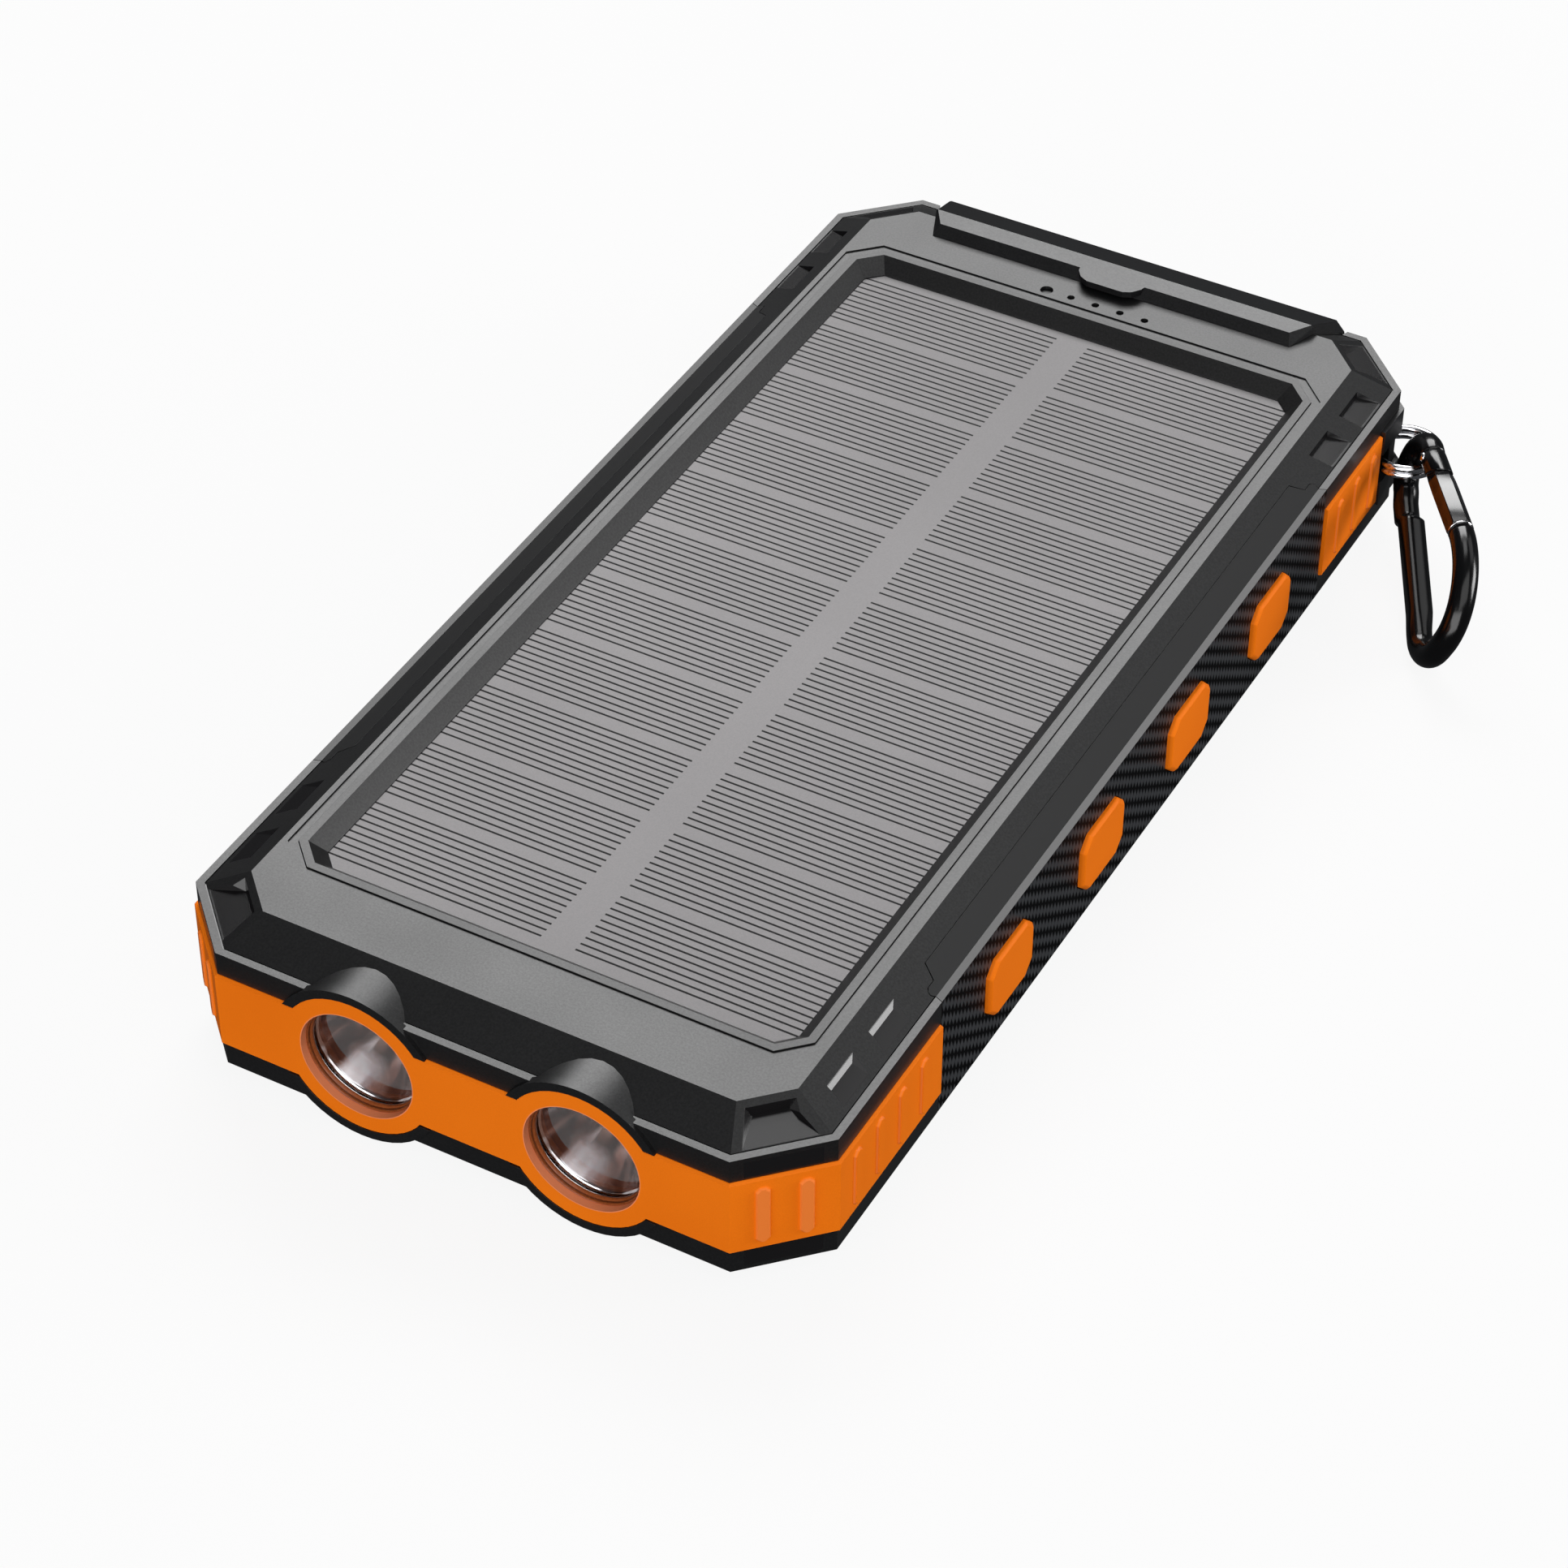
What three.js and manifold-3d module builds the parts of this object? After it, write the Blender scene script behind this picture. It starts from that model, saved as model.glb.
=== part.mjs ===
// A rugged solar phone charger: two black shells with orange rubber bumpers, carbon-look side grips,
// a solar panel, two flashlights, a rubber port cover, and a carabiner on a split ring.
// Millimetres, +Z up. The origin is the centre of the flat underside. +Y points to the port end,
// the flashlights look towards -Y and the lanyard corner is at +X +Y.
import * as THREE from "three";
import { mergeVertices } from "three/addons/utils/BufferGeometryUtils.js";
import Module from "manifold-3d";

const wasm = await Module();
wasm.setup();

// ---- driving dimensions -------------------------------------------------------------------

const halfWidth = 40;
const halfLength = 82.05;
const thickness = 21.6;
const corner = 8.25; // leg of the 45 degree corners
const middle = thickness / 2;
const bevelDrop = 2.45; // height of the sloping border of each face
const rimTop = thickness - bevelDrop;
const rimWidth = 0.92;
const grooveWidth = 0.14;
const grooveDepth = 0.2;
const plateau = { x: 34.0, y: 76.2, corner: 4.7 };
const legShare = 2 - Math.SQRT2; // how much a corner leg grows for each millimetre of offset
const gap = 0.05; // running gap between fixed pieces

const wallOuter = 2.0; // inset of the shell wall behind the bumpers and grips
const wallInner = 3.8; // inset of the inside of the shell wall
const skin = 2.6; // thickness of the top and bottom faces
const beltLow = 5.6;
const beltHigh = thickness - beltLow;
const bumperProud = 0.4;

const lampX = 14.06;
const lampBore = 7.1;
const lampRing = 9.25;
const barrelOuter = 10.2;
const barrelBore = 7.7;
const barrelEnd = -71.5;
const flangeOuter = 10.45;
const flangeProud = 0.5;

const window = { x: 31.3, front: -67.0, back: 65.3, corner: 2.6, draft: 1.75 };
const bezel = { x: 32.3, front: -68.0, back: 66.15, corner: 3.2 };
const groove = { x: 33.3, front: -69.05, back: 67.15, corner: 3.6, depth: 0.2 };
const panelTop = thickness - 1.86;
const panelThickness = 1.2;
const bezelShelf = thickness - 1.65;
const bezelFoot = panelTop - panelThickness;
const indicatorY = 68.5;
const indicatorPitch = 3.445;

const gripEnd = 50.7;
const gripLip = 36.28; // how far the grip reaches in over the border
const gripPlate = 1.95;
const padCentres = [-34.7, -11.57, 11.57, 34.7];
const padHalf = { y: 5.25, z: 4.2, corner: 1.6 };
const padProud = 0.72;
const buttonY = padCentres[3];

const portWidthFront = 25.2;
const portFlare = 0.39; // growth of the cover's half width for each millimetre towards the rear
const portFront = 72.17;
const portRise = 1.4;
const portWall = halfLength - wallOuter + gap;
const hinge = { y: 81.1, z: 6.65, radius: 0.93 };
const usbAX = 16.5;
const usbAZ = 12.0;
const usbCZ = 10.75;
const boardTop = 9.0;

const post = { x: 39.35, y: 73.3 };
const lugProud = 0.6;
const lugLow = 5.15;
const slotLow = 8.6;
const slotHigh = thickness - slotLow;
const slotRadius = 5.2;

const ring = { x: 41.88, y: 72.95, radius: 4.25, wire: 0.5 };
const hookAngle = (-42 * Math.PI) / 180;
const clipHeading = (-61.5 * Math.PI) / 180;
const clipDip = (14.2 * Math.PI) / 180;
const clipRoll = (69.7 * Math.PI) / 180;
const clip = {
  wire: 1.6,
  bow: 3.6,
  bowEnd: 6,
  shoulder: 12.3,
  shoulderEnd: 21.9,
  foot: 29.4,
  footRadius: 4.3,
};
const gateAngle = Math.atan2(clip.shoulder - 2 * clip.bow, clip.shoulderEnd - clip.bowEnd);

// ---- solids from three.js geometry --------------------------------------------------------

function solid(geometry) {
  const bare = geometry.clone();
  bare.deleteAttribute("normal");
  bare.deleteAttribute("uv");
  const merged = mergeVertices(bare, 1e-4);
  const mesh = new wasm.Mesh({
    numProp: 3,
    vertProperties: merged.attributes.position.array,
    triVerts: new Uint32Array(merged.index.array),
  });
  return new wasm.Manifold(mesh);
}

function geometryOf(shape) {
  const mesh = shape.getMesh();
  const geometry = new THREE.BufferGeometry();
  geometry.setAttribute("position", new THREE.BufferAttribute(mesh.vertProperties, 3));
  geometry.setIndex(new THREE.BufferAttribute(mesh.triVerts, 1));
  geometry.computeVertexNormals();
  return geometry;
}

function joined(...shapes) {
  return shapes.reduce((all, next) => all.add(next));
}

function cut(shape, ...tools) {
  return tools.reduce((rest, tool) => rest.subtract(tool), shape);
}

// A straight prism of a closed outline, with its length along +Z before it is turned.
function prismGeometry(points, length) {
  const outline = points.map(([x, y]) => new THREE.Vector2(x, y));
  if (THREE.ShapeUtils.area(outline) < 0) outline.reverse();
  return new THREE.ExtrudeGeometry(new THREE.Shape(outline), { depth: length, bevelEnabled: false });
}

function prismZ(points, low, high) {
  return solid(prismGeometry(points, high - low).translate(0, 0, low));
}

const alongX = new THREE.Matrix4().makeBasis(
  new THREE.Vector3(0, 1, 0),
  new THREE.Vector3(0, 0, 1),
  new THREE.Vector3(1, 0, 0),
);
const alongY = new THREE.Matrix4().makeBasis(
  new THREE.Vector3(1, 0, 0),
  new THREE.Vector3(0, 0, 1),
  new THREE.Vector3(0, -1, 0),
);

// An outline in (y, z), from x = low to x = high.
function prismX(points, low, high) {
  return solid(prismGeometry(points, high - low).applyMatrix4(alongX).translate(low, 0, 0));
}

// An outline in (x, z), from y = low to y = high.
function prismY(points, low, high) {
  return solid(prismGeometry(points, high - low).applyMatrix4(alongY).translate(0, high, 0));
}

function box(x0, x1, y0, y1, z0, z1) {
  const geometry = new THREE.BoxGeometry(x1 - x0, y1 - y0, z1 - z0);
  return solid(geometry.translate((x0 + x1) / 2, (y0 + y1) / 2, (z0 + z1) / 2));
}

// A cylinder or cone along Y, with its radius at the low and at the high end.
function rodY(radiusLow, radiusHigh, x, z, low, high, sides = 48) {
  const geometry = new THREE.CylinderGeometry(radiusHigh, radiusLow, high - low, sides);
  return solid(geometry.translate(x, (low + high) / 2, z));
}

function rodZ(radiusLow, radiusHigh, x, y, low, high, sides = 24) {
  const geometry = new THREE.CylinderGeometry(radiusHigh, radiusLow, high - low, sides);
  return solid(geometry.rotateX(Math.PI / 2).translate(x, y, (low + high) / 2));
}

function rodX(radius, y, z, low, high, sides = 24) {
  const geometry = new THREE.CylinderGeometry(radius, radius, high - low, sides);
  return solid(geometry.rotateZ(Math.PI / 2).translate((low + high) / 2, y, z));
}

// A closed skin over rings of 3-D points, each ring with the same number of points.
function loft(rings) {
  const count = rings[0].length;
  const index = [];
  for (let level = 0; level + 1 < rings.length; level++) {
    for (let i = 0; i < count; i++) {
      const a = level * count + i;
      const b = level * count + ((i + 1) % count);
      index.push(a, b, b + count, a, b + count, a + count);
    }
  }
  const top = (rings.length - 1) * count;
  for (let i = 1; i + 1 < count; i++) {
    index.push(0, i + 1, i);
    index.push(top, top + i, top + i + 1);
  }
  const points = rings.flat().map((p) => new THREE.Vector3(...p));
  let volume = 0;
  for (let i = 0; i < index.length; i += 3) {
    const [a, b, c] = [0, 1, 2].map((k) => points[index[i + k]]);
    volume += a.dot(new THREE.Vector3().crossVectors(b, c));
  }
  if (volume < 0) index.reverse();
  const geometry = new THREE.BufferGeometry().setFromPoints(points);
  geometry.setIndex(index);
  return solid(geometry);
}

function octagon(x0, x1, y0, y1, leg) {
  return [
    [x1, y0 + leg],
    [x1, y1 - leg],
    [x1 - leg, y1],
    [x0 + leg, y1],
    [x0, y1 - leg],
    [x0, y0 + leg],
    [x0 + leg, y0],
    [x1 - leg, y0],
  ];
}

function bodyOutline(offset) {
  const x = halfWidth + offset;
  const y = halfLength + offset;
  return octagon(-x, x, -y, y, corner + legShare * offset);
}

function plateauOutline() {
  return octagon(-plateau.x, plateau.x, -plateau.y, plateau.y, plateau.corner);
}

function stack(layers) {
  return loft(layers.map(([outline, z]) => outline.map(([x, y]) => [x, y, z])));
}

// ---- body envelope and the cuts that both shells share ------------------------------------

function envelope() {
  const rimInner = bodyOutline(-rimWidth);
  const bevelFoot = bodyOutline(-rimWidth - grooveWidth);
  return stack([
    [plateauOutline(), 0],
    [bevelFoot, bevelDrop],
    [bevelFoot, bevelDrop + grooveDepth],
    [rimInner, bevelDrop + grooveDepth],
    [rimInner, bevelDrop],
    [bodyOutline(0), bevelDrop],
    [bodyOutline(0), rimTop],
    [rimInner, rimTop],
    [rimInner, rimTop - grooveDepth],
    [bevelFoot, rimTop - grooveDepth],
    [bevelFoot, rimTop],
    [plateauOutline(), thickness],
  ]);
}

function bevelHeight(x) {
  const foot = halfWidth - rimWidth - grooveWidth;
  return rimTop + (bevelDrop * (foot - x)) / (foot - plateau.x);
}

// A pocket sunk in the border: floor and mouth are its four corners, inboard pair first.
function pocket(floor, mouth, flip) {
  const place = ([x, y, z]) => [x * flip.x, y * flip.y, flip.z > 0 ? z : thickness - z];
  return loft([floor.map(place), mouth.map(place)]);
}

// The front pair has a leaning inboard wall and the rear pair an upright one over a flatter floor.
function sidePocket(near, flip) {
  const mouthX = 35.94;
  const floorX = flip.y > 0 ? mouthX + 0.08 : mouthX + 0.45;
  const floorSlope = flip.y > 0 ? 0.2 : 1 / 3;
  const rimX = halfWidth - rimWidth - 0.02;
  const floorZ = rimTop + (rimX - floorX) * floorSlope;
  const far = near + 5.65;
  const rise = bevelHeight(mouthX) - floorZ;
  const floor = [
    [floorX, near + 0.95, floorZ],
    [floorX, far, floorZ],
    [rimX, far + 1.1, rimTop],
    [rimX, near + 1.0, rimTop],
  ];
  const mouth = [
    [2 * mouthX - floorX, near - 0.95, floorZ + 2 * rise],
    [2 * mouthX - floorX, far, floorZ + 2 * rise],
    [rimX, far + 1.1, floorZ + 2 * rise],
    [rimX, near + 1.0, floorZ + 2 * rise],
  ];
  return pocket(floor, mouth, flip);
}

function cornerPocket(flip) {
  const along = (halfWidth - halfLength) / Math.SQRT2;
  const at = (out, side, z) => [
    (out + along + side) / Math.SQRT2,
    (out - along - side) / Math.SQRT2,
    z,
  ];
  const rimOut = (halfWidth + halfLength - corner) / Math.SQRT2 - rimWidth - 0.02;
  const floorZ = rimTop + 0.75;
  const mouthZ = rimTop + 2.5;
  const floorSide = flip.y > 0 ? 2.4 : 2.0;
  const floor = [
    at(75.58, -floorSide, floorZ),
    at(75.58, floorSide, floorZ),
    at(rimOut, 4.28, rimTop),
    at(rimOut, -4.28, rimTop),
  ];
  const mouth = [
    at(75.35, -3.07, mouthZ),
    at(75.35, 3.07, mouthZ),
    at(rimOut, 4.28, mouthZ),
    at(rimOut, -4.28, mouthZ),
  ];
  return pocket(floor, mouth, flip);
}

function pockets() {
  const all = [];
  for (const x of [-1, 1]) {
    for (const y of [-1, 1]) {
      for (const z of [-1, 1]) {
        const flip = { x, y, z };
        all.push(sidePocket(54.15, flip), sidePocket(63.27, flip), cornerPocket(flip));
      }
    }
  }
  return all;
}

// The keyed outline of a side grip seen from above, grown by a clearance.
function gripPlan(side, grow) {
  const half = [
    [gripLip - grow, 0],
    [gripLip - grow, 47.5 + grow],
    [37.97 - grow, 48.7 + grow],
    [37.97 - grow, 50.0 + grow],
    [38.22, 50.48 + grow],
    [38.6, 50.62 + grow],
    [39.05, 50.3 + grow],
    [halfWidth, gripEnd + grow],
    [halfWidth + 3, gripEnd + grow],
  ];
  const mirrored = half.slice(1).map(([x, y]) => [x, -y]);
  return [...half, ...mirrored.reverse()].map(([x, y]) => [x * side, y]);
}

// The inner face of a side grip in section, from the lower lip to the upper lip.
function gripInside(grow) {
  const plate = halfWidth - gripPlate - grow;
  const lipBottom = [
    [gripLip - grow, 2.05 + grow],
    [plate + 0.15, 3.0 + grow],
    [plate, 3.3 + grow],
  ];
  const lipTop = lipBottom.map(([x, z]) => [x, thickness - z]).reverse();
  return [...lipBottom, ...lipTop];
}

function gripRecess(side) {
  const reach = halfWidth + 5;
  const section = [...gripInside(gap), [gripLip - gap, thickness + 1], [reach, thickness + 1]];
  section.push([reach, -1], [gripLip - gap, -1]);
  const mirrored = section.map(([x, z]) => [x * side, z]);
  const bar = prismY(mirrored, -gripEnd - 2, gripEnd + 2);
  return bar.intersect(prismZ(gripPlan(side, 0.08), -2, thickness + 2));
}

// The plan areas of the front, rear left and rear right bumpers, with a clearance at their ends.
function bumperPlans(grow) {
  const start = gripEnd + 0.3 - 6 * grow;
  const inboard = halfWidth - corner - grow;
  const front = [
    [-60, -100],
    [60, -100],
    [60, -start],
    [-60, -start],
  ];
  const rear = (side, reach) => [
    [side * inboard, start],
    [side * 60, start],
    [side * 60, reach],
    [side * inboard, reach],
  ];
  return { front, left: rear(-1, 100), right: rear(1, 67.9 + grow) };
}

function beltRecess() {
  const outside = prismZ(bodyOutline(3), beltLow - gap, beltHigh + gap);
  const belt = outside.subtract(prismZ(bodyOutline(-wallOuter), beltLow - 1, beltHigh + 1));
  const plans = Object.values(bumperPlans(gap));
  return joined(...plans.map((plan) => belt.intersect(prismZ(plan, 0, thickness))));
}

// Half width of the port cover at a distance y from the middle of the body.
function portHalf(y) {
  return portWidthFront + portFlare * (y - portFront);
}

function portRecess() {
  const front = portWall - gap;
  const back = halfLength + 3;
  const plan = [
    [-portHalf(front) - 0.1, front],
    [portHalf(front) + 0.1, front],
    [portHalf(back) + 0.1, back],
    [-portHalf(back) - 0.1, back],
  ];
  const swing = box(-29.3, 29.3, front, back, beltLow - gap, hinge.z + 1.8);
  return prismZ(plan, beltLow - gap, thickness + 1).add(swing);
}

function portOpenings() {
  const low = halfLength - wallInner - 1;
  const high = halfLength;
  const openings = [-1, 1].map((side) =>
    box(side * usbAX - 7.1, side * usbAX + 7.1, low, high, usbAZ - 3.5, usbAZ + 3.5),
  );
  openings.push(box(-5.1, 5.1, low, high, usbCZ - 2.2, usbCZ + 2.2));
  const anchorHalf = 22.1;
  openings.push(box(-anchorHalf, anchorHalf, low, high, hinge.z - 0.5, hinge.z + 0.5));
  return openings;
}

function lugBlock() {
  const block = prismZ(bodyOutline(lugProud), lugLow, thickness - lugLow);
  const keep = [
    [34, 68.1],
    [45, 68.1],
    [45, 78],
    [halfWidth - corner + 3, 86],
    [halfWidth - corner - 0.3, halfLength - 1.5],
  ];
  return block.intersect(prismZ(keep, 0, thickness));
}

function lugSlot() {
  const well = rodZ(slotRadius, slotRadius, post.x, post.y, slotLow, slotHigh, 32);
  const strip = prismZ(bodyOutline(lugProud + 2), slotLow, slotHigh);
  const corridor = [
    [34, 67.9],
    [46, 67.9],
    [46, 90],
    [28, 90],
  ];
  const outside = strip.subtract(prismZ(bodyOutline(0), 0, thickness));
  return well.add(outside.intersect(prismZ(corridor, slotLow, slotHigh)));
}

function postOutline(grow) {
  return [
    [halfWidth + grow, 71.9 - grow],
    [halfWidth + grow, 73.8],
    [38.95 + grow, 74.85 + grow],
    [38.6 - grow, 74.3 + grow],
    [38.55 - grow, 73.2],
    [38.9 - grow, 72.2 - grow],
  ];
}

function cavity() {
  const room = prismZ(bodyOutline(-wallInner), skin, thickness - skin);
  const fences = [
    box(30, 45, 66.6, 90, 0, thickness),
    box(-45, 45, -90, -79.0, 0, thickness),
  ];
  return cut(room, ...fences);
}

function barrels() {
  return joined(...[-1, 1].map((side) =>
    rodY(barrelOuter, barrelOuter, side * lampX, middle, -halfLength + 0.4, barrelEnd, 48)));
}

function flanges() {
  const rings = [-1, 1].map((side) =>
    rodY(flangeOuter, flangeOuter, side * lampX, middle, -halfLength - flangeProud, -halfLength + 0.6, 48));
  const belt = box(-50, 50, -90, -70, beltLow - gap, beltHigh + gap);
  return cut(joined(...rings), belt);
}

function lampBores() {
  const bores = [];
  for (const side of [-1, 1]) {
    const x = side * lampX;
    bores.push(rodY(barrelBore, barrelBore, x, middle, -halfLength - 2, barrelEnd + 2, 48));
    const seat = lampRing + gap;
    bores.push(rodY(seat, seat, x, middle, -halfLength - 2, -halfLength + wallOuter, 48));
  }
  return bores;
}

const screwPlaces = [
  [-29, -62],
  [29, -62],
  [-29, 60],
  [29, 60],
];

function screwBosses() {
  return screwPlaces.map(([x, y]) => rodZ(3.0, 3.0, x, y, skin - 0.5, thickness - skin + 0.5, 20));
}

function screwHoles() {
  const holes = [];
  for (const [x, y] of screwPlaces) {
    holes.push(rodZ(1.15, 1.15, x, y, -1, 15, 16));
    holes.push(rodZ(2.2, 2.2, x, y, -1, 1.75, 24));
  }
  return holes;
}

// The full shell before it is parted at mid height.
function shell() {
  const lamps = joined(barrels(), flanges());
  const hollow = joined(envelope().subtract(cavity()), lamps, lugBlock(), ...screwBosses());
  const buttonHole = rodX(1.9, buttonY, middle, -halfWidth, -halfWidth + 5, 20);
  return cut(
    hollow,
    beltRecess(),
    gripRecess(1),
    gripRecess(-1),
    portRecess(),
    lugSlot(),
    prismZ(postOutline(gap), slotLow - 2.5, slotHigh + 2.5),
    buttonHole,
    ...lampBores(),
    ...portOpenings(),
    ...pockets(),
    ...screwHoles(),
  );
}

const shellSolid = shell();

function topCover() {
  const upper = shellSolid.intersect(box(-60, 60, -100, 100, middle + gap, thickness + 1));
  const seatX = bezel.x + gap;
  const seat = prismZ(
    octagon(-seatX, seatX, bezel.front - gap, bezel.back + gap, bezel.corner),
    bezelShelf - gap,
    thickness + 1,
  );
  const through = prismZ(octagon(-31.85, 31.85, bezel.front + 0.45, bezel.back - 0.45, bezel.corner - 0.2),
    middle, thickness);
  const frame = prismZ(octagon(-groove.x, groove.x, groove.front, groove.back, groove.corner),
    thickness - groove.depth, thickness + 1);
  const lights = [-2, -1, 0, 1, 2].map((step) => {
    const radius = step === -2 ? 0.85 : 0.5;
    return rodZ(radius, radius, step * indicatorPitch, indicatorY, 15, thickness + 1, 20);
  });
  return cut(upper, seat, through, frame, ...lights);
}

function bottomCover() {
  const lower = shellSolid.intersect(box(-60, 60, -100, 100, -1, middle - gap));
  const outer = prismZ(octagon(-groove.x, groove.x, -69, 69, groove.corner), -1, groove.depth);
  const inner = prismZ(octagon(-groove.x + 1, groove.x - 1, -68, 68, groove.corner - 0.4), -2, 1);
  return lower.subtract(outer.subtract(inner));
}

// ---- solar panel --------------------------------------------------------------------------

function windowLayer(inset, z) {
  const { x, front, back, corner: leg } = window;
  return [octagon(-x + inset, x - inset, front + inset, back - inset, leg - 0.4 * inset), z];
}

function panelBezel() {
  const outline = octagon(-bezel.x, bezel.x, bezel.front, bezel.back, bezel.corner);
  const upper = prismZ(outline, bezelShelf, thickness);
  const lower = prismZ(octagon(-31.8, 31.8, bezel.front + 0.5, bezel.back - 0.5, bezel.corner - 0.2),
    bezelFoot, bezelShelf + 0.2);
  const opening = stack([
    windowLayer(window.draft, bezelFoot - 1),
    windowLayer(window.draft, thickness - window.draft),
    windowLayer(0, thickness),
    windowLayer(-1, thickness + 1),
  ]);
  const pocketForPanel = prismZ(panelOutline(gap), bezelFoot - 1, panelTop + gap);
  return cut(upper.add(lower), opening, pocketForPanel);
}

function panelOutline(grow) {
  const x = window.x - window.draft + 1.1 + grow;
  const front = window.front + window.draft - 1.1 - grow;
  const back = window.back - window.draft + 1.1 + grow;
  return octagon(-x, x, front, back, 1.8);
}

function lightPipe() {
  const bar = box(-9, 9, indicatorY - 0.9, indicatorY + 0.9, 17.4, thickness - skin - gap);
  const pins = [-2, -1, 0, 1, 2].map((step) => {
    const radius = step === -2 ? 0.8 : 0.45;
    return rodZ(radius, radius, step * indicatorPitch, indicatorY, 18, thickness - 0.45, 20);
  });
  return joined(bar, ...pins);
}

// ---- rubber and grips ---------------------------------------------------------------------

function bumperBelt() {
  const edge = 0.2;
  const outer = stack([
    [bodyOutline(0.05), beltLow],
    [bodyOutline(bumperProud), beltLow + edge],
    [bodyOutline(bumperProud), beltHigh - edge],
    [bodyOutline(0.05), beltHigh],
  ]);
  return outer.subtract(prismZ(bodyOutline(-wallOuter + gap), 0, thickness));
}

// A grip rib that stands on a bumper face: centre, and the angle of the face's normal.
function rib(x, y, normal) {
  const half = { y: 0.87, z: 4.1, corner: 0.5 };
  const ringAt = (out, trim) =>
    octagon(-half.y + trim, half.y - trim, middle - half.z + trim, middle + half.z - trim, half.corner)
      .map(([side, z]) => [out, side, z]);
  const turned = (ring) =>
    ring.map(([out, side, z]) => [
      x + out * Math.cos(normal) - side * Math.sin(normal),
      y + out * Math.sin(normal) + side * Math.cos(normal),
      z,
    ]);
  return loft([turned(ringAt(-0.2, 0)), turned(ringAt(0, 0)), turned(ringAt(0.33, 0.2))]);
}

// The ribs of one body corner: places along the side, and two on the 45 degree face.
function cornerRibs(sideX, sideY, places, withCorner) {
  const faceX = halfWidth + bumperProud;
  const normalX = sideX > 0 ? 0 : Math.PI;
  const ribs = places.map((y) => rib(sideX * faceX, sideY * y, normalX));
  if (withCorner) {
    const reach = corner * Math.SQRT2;
    for (const along of [3.45, reach - 3.45]) {
      const x = halfWidth - (along / Math.SQRT2) + bumperProud / Math.SQRT2;
      const y = halfLength - corner + along / Math.SQRT2 + bumperProud / Math.SQRT2;
      ribs.push(rib(sideX * x, sideY * y, Math.atan2(sideY, sideX)));
    }
  }
  return ribs;
}

function frontBumper() {
  const belt = bumperBelt().intersect(prismZ(bumperPlans(0).front, 0, thickness));
  const ringFront = -halfLength - bumperProud;
  const ringBack = -halfLength + wallOuter - gap;
  const rings = [-1, 1].map((side) =>
    rodY(lampRing, lampRing, side * lampX, middle, ringFront, ringBack, 48));
  const bores = [];
  for (const side of [-1, 1]) {
    const x = side * lampX;
    bores.push(rodY(lampBore, lampBore, x, middle, -90, -70, 48));
    bores.push(rodY(barrelBore, barrelBore, x, middle, -80.5, -70, 48));
  }
  const places = [55.35, 60.35, 65.35, 70.35];
  const ribs = [1, -1].flatMap((side) => cornerRibs(side, -1, places, true));
  return cut(joined(belt, ...rings, ...ribs), ...bores);
}

function rearBumper(side) {
  const plans = bumperPlans(0);
  const belt = bumperBelt().intersect(prismZ(side < 0 ? plans.left : plans.right, 0, thickness));
  return joined(belt, ...cornerRibs(side, 1, [55.0, 60.1, 65.1], side < 0));
}

function padOutline(centre, grow) {
  const { y, z, corner: leg } = padHalf;
  return octagon(centre - y - grow, centre + y + grow, middle - z - grow, middle + z + grow, leg);
}

function sideGrip(side) {
  const reach = gripLip + 0.001;
  const section = [
    ...gripInside(0),
    [reach, bevelHeight(reach)],
    [halfWidth - rimWidth, rimTop],
    [halfWidth, rimTop],
    [halfWidth, bevelDrop],
    [halfWidth - rimWidth, bevelDrop],
    [reach, thickness - bevelHeight(reach)],
  ];
  const bar = prismY(section.map(([x, z]) => [x * side, z]), -gripEnd - 1, gripEnd + 1);
  const plate = bar.intersect(prismZ(gripPlan(side, 0), -2, thickness + 2));
  const low = side > 0 ? 30 : -50;
  const holes = padCentres.map((centre) => prismX(padOutline(centre, 0.08), low, low + 20));
  return cut(plate, ...holes);
}

// A rubber pad that stands through a hole in the grip, with a bevelled outer edge.
function padShape(side, centre, proud, foot) {
  const face = halfWidth + proud;
  const bevel = 0.35;
  const ringAt = (x, grow) => padOutline(centre, grow).map(([y, z]) => [side * x, y, z]);
  return loft([ringAt(foot, 0), ringAt(face - bevel, 0), ringAt(face, -bevel)]);
}

function gripPad(side, centre) {
  return padShape(side, centre, padProud, halfWidth - wallOuter + 0.06);
}

function powerButton() {
  const back = halfWidth - 1.45;
  const cap = padShape(-1, buttonY, padProud, back);
  const stem = rodX(1.4, buttonY, middle, -back - 0.2, -37.1, 20);
  const dimple = rodX(1.9, buttonY, middle, -halfWidth - 2, -halfWidth - padProud + 0.25, 32);
  return cap.add(stem).subtract(dimple);
}

// ---- flashlights --------------------------------------------------------------------------

const lensFront = -80.45;
const lensThickness = 1.0;
const reflectorFront = lensFront + lensThickness + gap;
const reflectorDepth = 7.2;
const throat = 1.9;

function lensRing(x) {
  const front = lensFront - 1.05;
  const back = lensFront - gap;
  const outside = rodY(lampBore - gap, lampBore - gap, x, middle, front, back, 48);
  const inside = rodY(6.9, 6.62, x, middle, front, back, 48);
  const past = joined(inside, rodY(6.9, 6.9, x, middle, front - 1, front, 48));
  return outside.subtract(joined(past, rodY(6.62, 6.62, x, middle, back, back + 1, 48)));
}

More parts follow.
